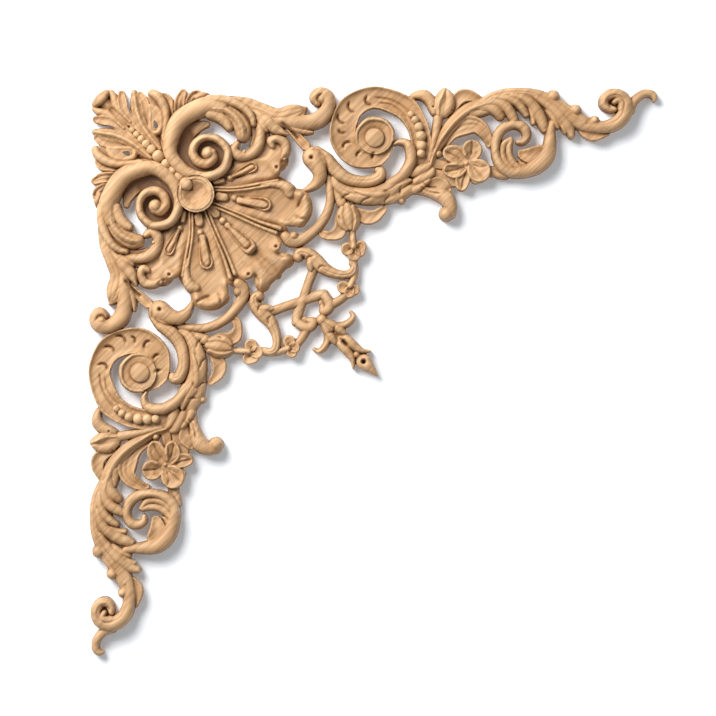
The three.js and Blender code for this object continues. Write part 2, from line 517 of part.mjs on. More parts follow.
// The arm ends in a scroll with a thin tail, and a twig of berries runs up to it.
function endScroll() {
  stroke("round", [
    [478, 30, 5.6, 14], [489, 35.4, 6, 14.5], [502, 38, 6.2, 14.5], [514, 37.6, 6, 15],
    [525, 33, 6.6, 15.5], [532, 24, 7, 15.5], [533.4, 14.4, 6, 15.5], [528.4, 6.6, 5.2, 15.5],
    [519.8, 4.8, 5, 15.5], [512.8, 8.8, 4.8, 15.5], [511.6, 15, 4.8, 15], [516.2, 19.4, 4, 14.5],
    [521.6, 20.4, 2.6, 14],
  ]);
  stroke("round", [
    [521.6, 13, 2.6, 14.5], [525.6, 11, 3, 15.5], [529, 14, 4, 15.5], [528.4, 20, 3.6, 15],
  ]);
  disc(520, 12, 6.4, 8);
  stroke("gouge", [
    [486.6, 38.6, 1.6, 11], [492, 43.4, 3.4, 12.5], [500, 46.4, 4.8, 13], [508.4, 45.4, 3.4, 12.5],
    [515, 44, 1.8, 11],
  ]);
  stroke("round", [
    [537.6, 21, 4.4, 12], [540.6, 13.4, 4, 12], [545.8, 7.8, 3.9, 11.5], [552, 4.2, 3.7, 10.5],
    [558.6, 4.4, 3.5, 9.5], [562, 7.8, 2.7, 9], [561.6, 11, 1.2, 8],
  ]);
  stroke("round", [
    [455, 6.6, 2.4, 12], [467, 12.6, 2.4, 12.5], [479, 21, 2.6, 12.5], [492, 29, 2.4, 12.5],
    [502, 33.6, 2.4, 12],
  ]);
  dome(460.6, 7.6, 6.4, 15.5);
  dome(483, 21.4, 5.8, 15.5);
  dome(502, 31.6, 4.6, 15);
}

// A garland of a bell flower and two small flowers hangs between the arm and the pendant.
function garland() {
  stroke("round", [[241.6, 91, 2, 9], [245.4, 103, 3.8, 10.5], [249.6, 113, 5, 12]]);
  stroke("round", [
    [250.6, 119, 3, 12.5], [249, 127, 4.6, 13.5], [251, 135, 4.2, 13], [254.6, 139.6, 2, 12],
  ]);
  stroke("round", [[255.6, 117, 4, 13], [256.6, 126, 6, 14.5], [257.4, 133, 5, 14], [258.6, 138, 3, 13]]);
  stroke("ridge", [
    [260.6, 118, 3.4, 13], [263.4, 126, 4.6, 14], [263.6, 134, 4.2, 14], [261.4, 140.4, 2, 12.5],
  ]);
  stroke("gouge", [
    [248, 128, 4.4, 9.5], [248.8, 136, 5.4, 10.5], [246.8, 142.8, 6, 11], [239.4, 146, 4, 10.5],
    [231.8, 144.8, 3.4, 10], [229, 141.2, 2.2, 9],
  ]);
  stroke("gouge", [
    [266, 122.2, 3.6, 9.5], [274, 127.6, 6.4, 11], [282.6, 126.8, 5.6, 11],
    [289.4, 121.6, 3.8, 10.5], [292.6, 118.8, 2.2, 9.5],
  ]);
  stroke("round", [[260.5, 139, 2.6, 9.5], [260.9, 148, 3, 11], [261.5, 157, 3, 13]]);
  stroke("gouge", [[257.8, 160, 3, 10], [255.6, 159.4, 6, 11.5]]);
  stroke("gouge", [[263, 162, 3, 10], [262.4, 165, 6, 11.5]]);
  stroke("gouge", [[267, 158, 3, 10], [268.8, 156.4, 5, 11.5], [268, 161.6, 5, 11.5]]);
  stroke("round", [
    [260.9, 170, 3, 9.5], [263.1, 178, 3, 9.5], [261.9, 187, 3.2, 10], [258.3, 196, 3, 12],
  ]);
  stroke("gouge", [[254.5, 198, 3, 10], [251.5, 197.4, 5.8, 11.5]]);
  stroke("gouge", [[258, 200, 3, 10], [257.4, 202.4, 5.4, 11.5]]);
  stroke("gouge", [[260, 199, 2, 10], [262.6, 200, 4.8, 11.5]]);
  stroke("round", [[256, 204, 3.4, 9.5], [248, 210, 3.8, 9.5], [241.2, 214, 4, 10]]);
}

// A leaf scroll and two plain struts carry the pendant from the shell.
function struts() {
  stroke("round", [
    [204.6, 166, 3.4, 11.5], [208, 162.4, 3.8, 12.5], [216, 163.8, 5.6, 13], [224, 171, 6.8, 13],
    [232.4, 178.8, 5.8, 12.5], [243, 183.8, 4.4, 12], [253, 185, 3.8, 12], [260, 182.6, 3.8, 11.5],
    [262, 177, 3, 11], [259, 173.6, 1.8, 10],
  ]);
  dome(206.4, 167, 5.2, 12.5);
  stroke("round", [[219, 166, 4, 13], [218.6, 175.6, 3.6, 12.5], [219, 180, 2, 11]]);
  stroke("round", [
    [221.6, 180, 4.2, 9], [216.6, 193, 4.1, 9], [211.2, 209, 4.1, 9], [206, 226, 4, 9],
    [203.6, 232.6, 3.6, 9],
  ]);
  stroke("round", [
    [221, 206.2, 4, 9], [230.6, 204.8, 4.2, 10.5], [236.6, 211.6, 4.6, 11], [237, 218, 4.6, 11],
    [232.4, 221, 4.6, 11], [230.4, 217, 2.4, 10.5],
  ]);
  stroke("flat", [[231, 212, 4, 7], [235, 216, 4, 7]]);
  dome(230, 230, 5.4, 12.5);
}

// The pendant is a husk with hooked leaves, long petals and a drop, all on the diagonal.
function pendant() {
  stroke("flat", [[238, 238, 6, 7], [250, 250, 8, 7], [258, 258, 6, 7]]);
  stroke("round", [
    [243, 235, 2.6, 11.5], [252, 235.2, 3.2, 12], [258.6, 231.4, 3, 11.5], [261.4, 226.4, 2.2, 10.5],
    [259, 222.2, 1.2, 9.5],
  ]);
  stroke("round", [
    [234, 231.8, 3.2, 12], [241, 235.6, 4.4, 13.5], [248, 240, 4.2, 13.5], [251.6, 242.8, 2.8, 12.5],
  ]);
  stroke("round", [
    [247.6, 244, 3, 11.5], [255.6, 250, 4.2, 12.5], [263, 256.8, 4, 12], [270, 260.8, 2.2, 11],
    [278, 261.2, 0.7, 9],
  ]);
  stroke("ridge", [[231.6, 231.6, 3.4, 11.5], [240, 240, 4, 13], [245.4, 245.4, 2, 12]]);
  dome(264.6, 264.6, 3.5, 11);
  stroke("round", [[271.4, 271.4, 7.1, 12], [278, 278, 4.2, 11], [285.4, 285.4, 0.4, 8.5]]);
}

shellGround();
webs();
cornerLeaves();
acanthus();
centreVolute();
hookLeaf();
shellRibs();
dropScroll();
sideScroll();
tulip();
flower();
roundScroll();
fingerLeaves();
endScroll();
garland();
struts();
pendant();

// The height at any place, between the four lattice places round it.
function heightAt(a, b) {
  const [column, row] = [Math.floor(a + margin), Math.floor(b + margin)];
  const [s, t] = [a + margin - column, b + margin - row];
  const at = (across, down) => relief[nodeAt(column + across, row + down)];
  return (at(0, 0) * (1 - s) + at(1, 0) * s) * (1 - t) + (at(0, 1) * (1 - s) + at(1, 1) * s) * t;
}

// The closed lines where the cover is nil, each with the carving on the same hand.
function outlines() {
  const next = new Map();
  const spots = new Map();
  const crossing = (from, to) => {
    const key = from < to ? `${from} ${to}` : `${to} ${from}`;
    if (!spots.has(key)) {
      const share = THREE.MathUtils.clamp(cover[from] / (cover[from] - cover[to]), 0.04, 0.96);
      const [a, b] = [from % latticeSize, Math.floor(from / latticeSize)];
      const [c, d] = [to % latticeSize, Math.floor(to / latticeSize)];
      spots.set(key, [a + (c - a) * share - margin, b + (d - b) * share - margin]);
    }
    return key;
  };
  for (let row = 0; row + 1 < latticeSize; row += 1) {
    for (let column = 0; column + 1 < latticeSize; column += 1) {
      const corners = [[0, 0], [1, 0], [1, 1], [0, 1]].map(([x, y]) => nodeAt(column + x, row + y));
      const starts = [];
      const ends = [];
      for (let i = 0; i < 4; i += 1) {
        const [from, to] = [corners[i], corners[(i + 1) % 4]];
        if (cover[from] > 0 && cover[to] <= 0) starts.push(crossing(from, to));
        if (cover[from] <= 0 && cover[to] > 0) ends.push(crossing(from, to));
      }
      const joinedAcross = corners.reduce((sum, node) => sum + cover[node], 0) > 0;
      starts.forEach((start, i) => {
        const order = starts.length === 2 && joinedAcross !== cover[corners[0]] > 0 ? 1 - i : i;
        next.set(start, ends[order]);
      });
    }
  }
  const loops = [];
  while (next.size > 0) {
    const [first] = next.keys();
    const loop = [];
    for (let key = first; next.has(key);) {
      loop.push(spots.get(key));
      const following = next.get(key);
      next.delete(key);
      key = following;
    }
    loops.push(loop);
  }
  return loops;
}

function areaOf(loop) {
  return loop.reduce((sum, [a, b], i) => {
    const [c, d] = loop[(i + 1) % loop.length];
    return sum + (a * d - c * b) / 2;
  }, 0);
}

// How far a place lies from the straight run between two others.
function gapTo([a, b], [fromA, fromB], [toA, toB]) {
  const [alongA, alongB] = [toA - fromA, toB - fromB];
  const length = Math.hypot(alongA, alongB);
  if (length < 1e-9) return Math.hypot(a - fromA, b - fromB);
  return Math.abs(alongA * (b - fromB) - alongB * (a - fromA)) / length;
}

// The places of a closed line that its shape needs, as their order along it.
function keptPlaces(loop, from, to) {
  const indexOf = (i) => i % loop.length;
  let [worst, at] = [0, from];
  for (let i = from + 1; i < to; i += 1) {
    const gap = gapTo(loop[indexOf(i)], loop[indexOf(from)], loop[indexOf(to)]);
    if (gap > worst) [worst, at] = [gap, i];
  }
  if (worst < outlineFairness) return [from];
  return [...keptPlaces(loop, from, at), ...keptPlaces(loop, at, to)];
}

function thinned(loop) {
  const half = Math.floor(loop.length / 2);
  return [...keptPlaces(loop, 0, half), ...keptPlaces(loop, half, loop.length)];
}

// Whether two straight runs cross.
function runsCross([p, q], [r, s]) {
  const side = ([a, b], [c, d], [e, f]) => Math.sign((c - a) * (f - b) - (d - b) * (e - a));
  return side(p, q, r) !== side(p, q, s) && side(r, s, p) !== side(r, s, q);
}

// Thins every outline, and gives places back where two thinned runs would cross.
function fairOutlines(loops) {
  const kept = loops.map(thinned);
  for (let again = true; again;) {
    again = false;
    const runs = kept.flatMap((places, line) => places.map((start, i) => {
      const end = i + 1 < places.length ? places[i + 1] : places[0] + loops[line].length;
      const ends = [loops[line][start], loops[line][end % loops[line].length]];
      return { line, start, end, ends };
    }));
    const split = new Set();
    for (const run of runs) {
      for (const other of runs) {
        const touching = run.line === other.line && (run.end % loops[run.line].length === other.start
          || other.end % loops[run.line].length === run.start || run === other);
        if (!touching && runsCross(run.ends, other.ends)) split.add(run).add(other);
      }
    }
    for (const { line, start, end } of split) {
      if (end - start < 2) continue;
      kept[line].push(Math.floor((start + end) / 2) % loops[line].length);
      kept[line].sort((i, j) => i - j);
      again = true;
    }
  }
  return loops.map((loop, line) => kept[line].map((i) => loop[i]));
}

// A net of triangles over the outline, kept as even as its edges allow while places are added.
class Net {
  constructor(places, triangles) {
    this.places = places;
    this.faces = triangles.map((corners) => [...corners]);
    this.across = this.faces.map(() => [-1, -1, -1]);
    const open = new Map();
    this.faces.forEach((face, i) => {
      for (let k = 0; k < 3; k += 1) {
        const [from, to] = [face[(k + 1) % 3], face[(k + 2) % 3]];
        const other = open.get(`${to} ${from}`);
        if (other) {
          this.across[i][k] = other[0];
          this.across[other[0]][other[1]] = i;
        } else {
          open.set(`${from} ${to}`, [i, k]);
        }
      }
    });
    for (let changed = true; changed;) {
      changed = false;
      for (let i = 0; i < this.faces.length; i += 1) {
        for (let k = 0; k < 3; k += 1) changed = this.settle(i, k, new Set()) || changed;
      }
    }
  }

  // Turns the edge opposite corner k of face i, if the two faces beside it are better so.
  settle(i, k, touched) {
    const j = this.across[i][k];
    if (j < 0) return false;
    const m = this.across[j].indexOf(i);
    const [p, a, b] = [0, 1, 2].map((n) => this.faces[i][(k + n) % 3]);
    const d = this.faces[j][m];
    if (!this.inCircle(p, a, b, d)) return false;
    const [pa, bp] = [this.across[i][(k + 2) % 3], this.across[i][(k + 1) % 3]];
    const [ad, db] = [this.across[j][(m + 1) % 3], this.across[j][(m + 2) % 3]];
    this.faces[i] = [p, a, d];
    this.faces[j] = [p, d, b];
    this.across[i] = [ad, j, pa];
    this.across[j] = [db, bp, i];
    this.rejoin(ad, j, i);
    this.rejoin(bp, i, j);
    touched.add(i).add(j);
    this.settle(i, 0, touched);
    this.settle(j, 0, touched);
    return true;
  }

  rejoin(face, before, after) {
    if (face >= 0) this.across[face][this.across[face].indexOf(before)] = after;
  }

  inCircle(...corners) {
    const [, , , [x, y]] = corners.map((corner) => this.places[corner]);
    const rows = corners.slice(0, 3).map((corner) => {
      const [u, v] = [this.places[corner][0] - x, this.places[corner][1] - y];
      return [u, v, u * u + v * v];
    });
    const [[a, b, c], [d, e, f], [g, h, i]] = rows;
    return a * (e * i - f * h) - b * (d * i - f * g) + c * (d * h - e * g) > 1e-7;
  }

  // Adds a place inside face i and returns the faces that changed.
  add(i, place) {
    const v = this.places.push(place) - 1;
    const [a, b, c] = this.faces[i];
    const [bc, ca, ab] = this.across[i];
    const [j, m] = [this.faces.length, this.faces.length + 1];
    this.faces[i] = [v, a, b];
    this.faces.push([v, b, c], [v, c, a]);
    this.across[i] = [ab, j, m];
    this.across.push([bc, m, i], [ca, i, j]);
    this.rejoin(bc, i, j);
    this.rejoin(ca, i, m);
    const touched = new Set([i, j, m]);
    for (const face of [i, j, m]) this.settle(face, this.faces[face].indexOf(v), touched);
    return touched;
  }
}

// The place in a face where the carving stands farthest from the flat facet, and how far.
function worstPlace(net, face) {
  const [[a, b, p], [c, d, q], [e, f, r]] = net.faces[face].map((corner) => net.places[corner]);
  const whole = (c - a) * (f - b) - (d - b) * (e - a);
  const worst = { gap: 0, place: null };
  for (let y = Math.ceil(Math.min(b, d, f)); y <= Math.max(b, d, f); y += 1) {
    for (let x = Math.ceil(Math.min(a, c, e)); x <= Math.max(a, c, e); x += 1) {
      const s = ((x - a) * (f - b) - (y - b) * (e - a)) / whole;
      const t = ((c - a) * (y - b) - (d - b) * (x - a)) / whole;
      if (s < 0 || t < 0 || s + t > 1 || cover[nodeAt(x + margin, y + margin)] < edgeBand) continue;
      const height = heightAt(x, y);
      const gap = Math.abs(height - (p + (q - p) * s + (r - p) * t));
      if (gap > worst.gap) Object.assign(worst, { gap, place: [x, y, height] });
    }
  }
  return worst;
}

// The relief as one closed body: a flat back, upright sides and the faceted carving.
function reliefGeometry() {
  const loops = outlines();
  const larger = (one, other) => (Math.abs(areaOf(one)) > Math.abs(areaOf(other)) ? one : other);
  const outer = loops.reduce(larger);
  const isSawn = (loop) => Math.abs(areaOf(loop)) * step ** 2 > smallestOpening;
  const holes = loops.filter((loop) => isSawn(loop) && areaOf(loop) * areaOf(outer) < 0);
  const rim = fairOutlines([outer, ...holes]).map((loop) => loop.map(([a, b], i) => {
    const off = 0.02 * Math.sin(7 * i + a); // keeps three places off one straight line
    return new THREE.Vector2(a + off, b - off);
  }));
  const back = THREE.ShapeUtils.triangulateShape(rim[0], rim.slice(1));
  const places = rim.flat().map(({ x, y }) => [x, y, heightAt(x, y)]);
  const rimCount = places.length;
  const clockwise = back.map(([i, j, k]) => {
    const [[a, b], [c, d], [e, f]] = [places[i], places[j], places[k]];
    return (c - a) * (f - b) - (d - b) * (e - a) > 0 ? [i, j, k] : [i, k, j];
  });
  const net = new Net(places, clockwise);
  const backFaces = net.faces.map((corners) => [...corners]);
  const worst = net.faces.map((_, face) => worstPlace(net, face));
  while (net.faces.length + backFaces.length + 2 * rimCount < facetCount) {
    let face = 0;
    for (let i = 1; i < worst.length; i += 1) if (worst[i].gap > worst[face].gap) face = i;
    if (!worst[face].place) break;
    for (const changed of net.add(face, worst[face].place)) worst[changed] = worstPlace(net, changed);
  }
  const top = net.places.map(([a, b, height]) => {
    return [(a - hubPlace) * step, -height * level, (hubPlace - b) * step];
  });
  const wall = top.slice(0, rimCount).map(([x, , z]) => [x, 0, z]);
  const under = backFaces.map(([i, j, k]) => [i, k, j].map((corner) => corner + top.length));
  const faces = [...net.faces, ...under];
  net.faces.forEach((corners, i) => {
    net.across[i].forEach((beyond, k) => {
      if (beyond >= 0) return;
      const [from, to] = [corners[(k + 1) % 3], corners[(k + 2) % 3]];
      faces.push([to, from, from + top.length], [to, from + top.length, to + top.length]);
    });
  });
  const geometry = new THREE.BufferGeometry();
  geometry.setAttribute("position", new THREE.Float32BufferAttribute([...top, ...wall].flat(), 3));
  geometry.setIndex(facingOut(faces, [...top, ...wall]).flat());
  geometry.computeVertexNormals();
  return geometry;
}

// Turns every face over if the closed body they make is inside out.
function facingOut(faces, points) {
  const corner = (i) => new THREE.Vector3(...points[i]);
  const volume = faces.reduce((sum, [i, j, k]) => sum + corner(i).dot(corner(j).cross(corner(k))), 0);
  return volume > 0 ? faces : faces.map(([i, j, k]) => [i, k, j]);
}

const relief = evened(evened(heights));
const level = reliefDepth / relief.reduce((crest, height) => Math.max(crest, height));
const wood = new THREE.MeshStandardMaterial({ color: 0xd9ae78, roughness: 0.72, metalness: 0 });
const applique = new THREE.Mesh(reliefGeometry(), wood);
applique.name = "corner_applique";
const group = new THREE.Group();
group.add(applique);

export default group;
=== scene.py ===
# %% [markdown]
# # Carved wood corner applique
#
# A corner onlay for doors, panels and ceilings: two leafy scrolling arms meet at a fan shell, and
# a pendant hangs inward on the diagonal. A carver saws the outline from one board, carves the
# front in low relief and leaves the back flat for glue. It could be sculpted by hand, or built
# from bevelled curves. Here the front is a height worked out on a fine lattice from the carver's
# strokes, because every form in it rises straight from the board and nothing is undercut. The
# lattice is then meshed, given sides and a back, and stained as wood.

# %% Frame and sizes
import math
import bpy
import bmesh
import numpy as np
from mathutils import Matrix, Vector
from mathutils.geometry import tessellate_polygon


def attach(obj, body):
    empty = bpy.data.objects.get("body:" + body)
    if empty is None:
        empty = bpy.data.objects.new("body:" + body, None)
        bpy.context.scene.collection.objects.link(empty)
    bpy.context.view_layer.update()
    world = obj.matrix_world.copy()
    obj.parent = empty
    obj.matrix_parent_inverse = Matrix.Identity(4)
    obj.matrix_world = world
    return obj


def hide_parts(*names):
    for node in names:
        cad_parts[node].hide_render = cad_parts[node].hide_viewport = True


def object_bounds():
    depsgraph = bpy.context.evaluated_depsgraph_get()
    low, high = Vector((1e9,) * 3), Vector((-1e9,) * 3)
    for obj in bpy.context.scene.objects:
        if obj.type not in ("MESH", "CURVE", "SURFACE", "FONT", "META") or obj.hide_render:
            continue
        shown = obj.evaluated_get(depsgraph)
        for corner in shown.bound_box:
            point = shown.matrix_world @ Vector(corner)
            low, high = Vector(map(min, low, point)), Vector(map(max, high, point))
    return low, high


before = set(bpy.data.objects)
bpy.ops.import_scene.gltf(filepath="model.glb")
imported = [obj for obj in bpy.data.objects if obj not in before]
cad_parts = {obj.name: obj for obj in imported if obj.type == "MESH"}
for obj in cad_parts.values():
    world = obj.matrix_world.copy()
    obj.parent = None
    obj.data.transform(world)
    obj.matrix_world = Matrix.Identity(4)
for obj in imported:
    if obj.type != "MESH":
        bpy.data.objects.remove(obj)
cad_low, cad_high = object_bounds()
NODE = "corner_applique"

ARM_STEPS = 565
STEP = 0.0008  # metres in one step of the drawing
LEVEL = 0.001  # metres in one level of height
HUB_PLACE = 104.8  # centre of the shell along both arms, in steps; the frame's origin
WEB_HEIGHT = 9.2  # levels of the thin webs between the leaves
FULLNESS = 0.7  # added to each drawn half width, in steps
print("CAD box", [round(v, 4) for v in cad_low], [round(v, 4) for v in cad_high])

# %% [markdown]
# ## The board as a lattice
#
# The board is a square lattice with the two arms along its edges, and each lattice place holds how
# high the wood stands there. A second lattice holds how far the place lies inside the sawn
# outline, so the outline can be found between two places later. The two arms mirror each other
# about the diagonal, so each stroke is laid on the lattice and on its mirror image at once.

# %% Lattice
MARGIN = 8  # empty steps round the board
SPACING = 0.5  # steps between two lattice places
count = int((ARM_STEPS + 2 * MARGIN) / SPACING) + 1
axis = np.arange(count) * SPACING - MARGIN
across, down = np.meshgrid(axis, axis)
height = np.zeros((count, count))
cover = np.full((count, count), -float(MARGIN))
owner = np.zeros((count, count), int)
ways = {}
later_cuts = []


def both_halves():
    """The heights, covers and owners of the lattice, and the same three mirrored."""
    return (height, cover, owner), (height.T, cover.T, owner.T)


def told(name):
    print(name + ": wood over", int((cover > 0).sum() * SPACING ** 2), "square steps")


print("lattice", count, "x", count)

# %% [markdown]
# A stroke needs two things: a smooth way through the few marks that were drawn, and for each place
# round it the nearest point of that way. The way is a spline that passes through its marks, so a
# mark can be moved without the rest of the stroke running off.

# %% Ways through marks
POINT_SPACING = 0.5  # steps between two points of a way
THINNEST = 0.4  # least half width of a way, in steps
FAR = 1e9  # distance given to a place that no point has reached


def way_through(marks):
    """Points on a smooth curve through the marks [a, b, half width, height]."""
    marks = np.array(marks, float)
    if len(marks) == 1:
        return marks
    ends = np.vstack([2 * marks[0] - marks[1], marks, 2 * marks[-1] - marks[-2]])
    pieces = []
    for p, q, r, s in zip(ends, ends[1:], ends[2:], ends[3:]):
        number = max(2, int(math.hypot(*(r - q)[:2]) / POINT_SPACING))
        t = np.linspace(0, 1, number, endpoint=False)[:, None]
        pieces.append(0.5 * (2 * q + (r - p) * t + (2 * p - 5 * q + 4 * r - s) * t ** 2
                             + (3 * q - p - 3 * r + s) * t ** 3))
    way = np.vstack(pieces + [marks[-1:]])
    way[:, 2] = np.maximum(way[:, 2], THINNEST)
    return way


def near(way, reach=2.0):
    """For the places round a way: the window, the distance in half widths and the nearest point."""
    edge = way[:, 2].max() + reach
    low = np.maximum(((way[:, :2].min(axis=0) - edge + MARGIN) / SPACING).astype(int), 0)
    high = ((way[:, :2].max(axis=0) + edge + MARGIN) / SPACING).astype(int) + 2
    window = (slice(low[1], high[1]), slice(low[0], high[0]))
    a, b = across[window], down[window]
    share = np.full(a.shape, FAR)
    nearest = np.zeros(a.shape, int)
    for k, (x, y, half_width, _) in enumerate(way):
        r = half_width + reach
        rows = slice(max(0, int((y - r - b[0, 0]) / SPACING)), int((y + r - b[0, 0]) / SPACING) + 2)
        columns = slice(max(0, int((x - r - a[0, 0]) / SPACING)), int((x + r - a[0, 0]) / SPACING) + 2)
        here = np.hypot(a[rows, columns] - x, b[rows, columns] - y) / half_width
        closer = here < share[rows, columns]
        share[rows, columns][closer] = here[closer]
        nearest[rows, columns][closer] = k
    return window, share, nearest


sample = way_through([[0, 0, 1, 1], [9, 3, 1, 1], [18, 0, 1, 1]])
print("a way through three marks has", len(sample), "points")

# %% [markdown]
# ## The strokes
#
# A carver's stroke leaves a band of one cross-section: a rounded stem, a leaf with a ridge, a
# gouged hollow, a scroll with raised rims. Where strokes meet, the higher one wins, which is how
# leaves lap over each other in low relief. Separate bevelled curves could do this too, but they
# would cross inside the wood and leave hidden faces, while heights always give one clean skin. The
# edges of each band roll over, as a knife and sandpaper leave them.

# %% Bands
SECTIONS = {  # height over a half section, from 0 at its middle to 1 at its edge
    "round": lambda s: 0.58 + 0.42 * np.sqrt(1 - s ** 2),
    "bead": lambda s: 0.45 + 0.55 * np.sqrt(1 - s ** 2),
    "ridge": lambda s: 1 - 0.34 * s ** 1.15,
    "gouge": lambda s: 0.78 + 0.22 * s ** 2,
    "channel": lambda s: 0.68 + 0.32 * s ** 6,
    "flat": lambda s: np.ones_like(s),
}
EDGE_ROLL = 1.7  # steps over which an edge rolls over
EDGE_ROLL_SHARE = 0.6  # most of a narrow band's half width that rolls over
EDGE_KEPT, EDGE_LOST = 0.58, 0.42  # shares of its height that a band keeps and loses at its edge
SKIRT = 1.0  # steps that a band's edge height reaches past its outline
JUST_INSIDE = 0.9995  # stands for the very edge, where a round section would turn upright


def rolled(share, half_width):
    """How much of its height a band keeps towards its edges."""
    roll = np.clip((1 - share) * half_width / np.minimum(EDGE_ROLL, EDGE_ROLL_SHARE * half_width), 0, 1)
    return EDGE_KEPT + EDGE_LOST * np.sqrt(1 - (1 - roll) ** 2)


def lay(window, top, inside, wood, number, over=False):
    """Lays a band on both halves wherever it stands highest, or over all that is there."""
    for heights, covers, owners in both_halves():
        taken = inside & (over | (top > heights[window]))
        heights[window][taken] = top[taken]
        owners[window][taken] = number
        np.maximum(covers[window], wood, out=covers[window])


def stroke(kind, marks, name=None):
    """A band of one cross-section along the marks [a, b, half width, height]."""
    way = way_through(marks)
    way[:, 2] += FULLNESS
    window, share, nearest = near(way)
    half_width, peak = way[nearest, 2], way[nearest, 3]
    s = np.minimum(share, JUST_INSIDE)
    top = peak * SECTIONS[kind](s) * rolled(s, half_width)
    number = len(ways) + 1
    ways[name or number] = (way, number)
    lay(window, top, (share - 1) * half_width < SKIRT, (1 - share) * half_width, number)


print("cross-sections", list(SECTIONS))

# %% [markdown]
# Some forms repeat: curls, balls, flat discs, thin webs and one round dish. A curl is easier to
# draw by angle and radius than by marks, because its turns then stay round.

# %% Curls, balls, webs and dishes
RIM_SHARE = 0.32  # share of a dish's radius that its rim takes


def spiral(kind, centre, turns, name=None):
    """A curl given by angle and distance round its centre: [degrees, radius, half width, height]."""
    marks = []
    for degrees, radius, half_width, peak in turns:
        angle = math.radians(degrees)
        marks.append([centre[0] + radius * math.cos(angle), centre[1] + radius * math.sin(angle),
                      half_width, peak])
    stroke(kind, marks, name)


def dome(a, b, radius, peak):
    stroke("bead", [[a, b, radius, peak]])


def disc(a, b, radius, peak):
    stroke("flat", [[a, b, radius, peak]])


def web(marks):
    """A thin web of the board that ties the leaves together: [a, b, half width]."""
    stroke("flat", [[a, b, half_width, WEB_HEIGHT] for a, b, half_width in marks])


def dish(a, b, outer, rim, floor_edge, floor_centre):
    """A round dish: a raised rim round a hollow floor."""
    window, share, _ = near(np.array([[a, b, outer, rim]], float))
    rim_width = RIM_SHARE * outer
    inner = outer - rim_width
    on_rim = (share * outer - inner) / (rim_width / 2) - 1
    bank = rim * SECTIONS["round"](np.clip(np.abs(on_rim), 0, JUST_INSIDE))
    floor = floor_centre + (floor_edge - floor_centre) * (share * outer / inner) ** 2
    top = np.where(on_rim < -1, floor, np.maximum(floor_edge, bank))
    number = len(ways) + 1
    ways[number] = (None, number)
    lay(window, top, share < 1, (1 - share) * outer, number, over=True)


def slit(marks):
    """A narrow opening right through the board."""
    way = way_through([[a, b, half_width, 0] for a, b, half_width in marks])
    window, share, nearest = near(way)
    outside = (share - 1) * way[nearest, 2]
    for _, covers, _ in both_halves():
        np.minimum(covers[window], outside, out=covers[window])


print("a dish's rim takes", RIM_SHARE, "of its radius")

# %% [markdown]
# A carver also scrapes and cuts what is already there. Scraping is an average over a small square,
# and a mound is a smooth hump added on top. Veiner cuts are noted now and made at the very end,
# so that no later stroke fills them.

# %% Scraping and fine cuts
NO_WOOD = 1e-6  # least share of wood, so that nothing is divided by nought
CUT_REACH = 4  # steps round a cut in which it is still felt
FADE_POINTS, FADE_START = 6, 0.2  # a cut starts shallow and deepens over its first points


def blurred(field, steps):
    """A soft average over a square of the given half side, taken twice."""
    reach = max(1, int(steps / SPACING))
    for _ in range(2):
        for turned in (0, 1):
            padded = np.pad(field, ((reach + 1, reach), (0, 0)), mode="edge")
            sums = np.cumsum(padded, axis=0)
            field = ((sums[2 * reach + 1:] - sums[:-2 * reach - 1]) / (2 * reach + 1)).T
    return field


def soften(steps):
    """Runs all that is laid so far into one flowing surface, as scraping does."""
    wood = (height > 0).astype(float)
    shares = np.maximum(blurred(wood, steps), NO_WOOD)
    height[:] = np.where(wood > 0, blurred(height, steps) / shares, 0)


def swell(a, b, radius, rise):
    """Raises a gentle mound on the wood that is already there."""
    share = np.minimum(np.hypot(across - a, down - b) / radius, 1)
    mound = rise * (1 - share ** 2) ** 2 * (height > 0)
    height[:] = height + np.maximum(mound, mound.T)


def groove(depth, width, marks):
    """A gouge cut to make once all strokes are laid: [a, b] marks, depth and width in steps."""
    later_cuts.append((way_through([[a, b, 1, 0] for a, b in marks]), depth, width, None))


def dimple(a, b, depth, width):
    """A small round hollow, pressed in with the point of a tool."""
    later_cuts.append((np.array([[a, b, 1, 0]], float), depth, width, None))


def veins(name, shares, depth, width):
    """Cuts that run along a stroke, at shares of its half width to one side or the other."""
    way, number = ways[name]
    along = np.gradient(way[:, :2], axis=0)
    along /= np.maximum(np.linalg.norm(along, axis=1), 1e-9)[:, None]
    for share in shares:
        line = way.copy()
        line[:, 0] -= along[:, 1] * share * way[:, 2]
        line[:, 1] += along[:, 0] * share * way[:, 2]
        line[:, 2] = 1
        later_cuts.append((line, depth, width, number))


def make_cuts():
    """Makes all the noted cuts, those of a stroke only on that stroke."""
    for way, depth, width, number in later_cuts:
        window, share, nearest = near(way, CUT_REACH)
        fade = 1
        if len(way) > 1:
            from_end = np.minimum(nearest, len(way) - 1 - nearest)
            fade = np.minimum(1, from_end / FADE_POINTS + FADE_START)
        cut = depth * fade * np.exp(-(share / width) ** 2)
        for heights, _, owners in both_halves():
            mine = heights[window] > 0 if number is None else owners[window] == number
            heights[window][mine] -= cut[mine]


print("cuts noted so far", len(later_cuts))

# %% [markdown]
# The fan shell fills the inner corner. Its flutes are shallow scoops that widen outwards and roll
# over at a scalloped rim, with a soft ball where two scallops meet. A carver roughs all of it out
# as one flowing surface before the ribs go on, so the first strokes are run together here.
# Smoothing it with a sculpting brush would look the same, but couldn't be done again alike.

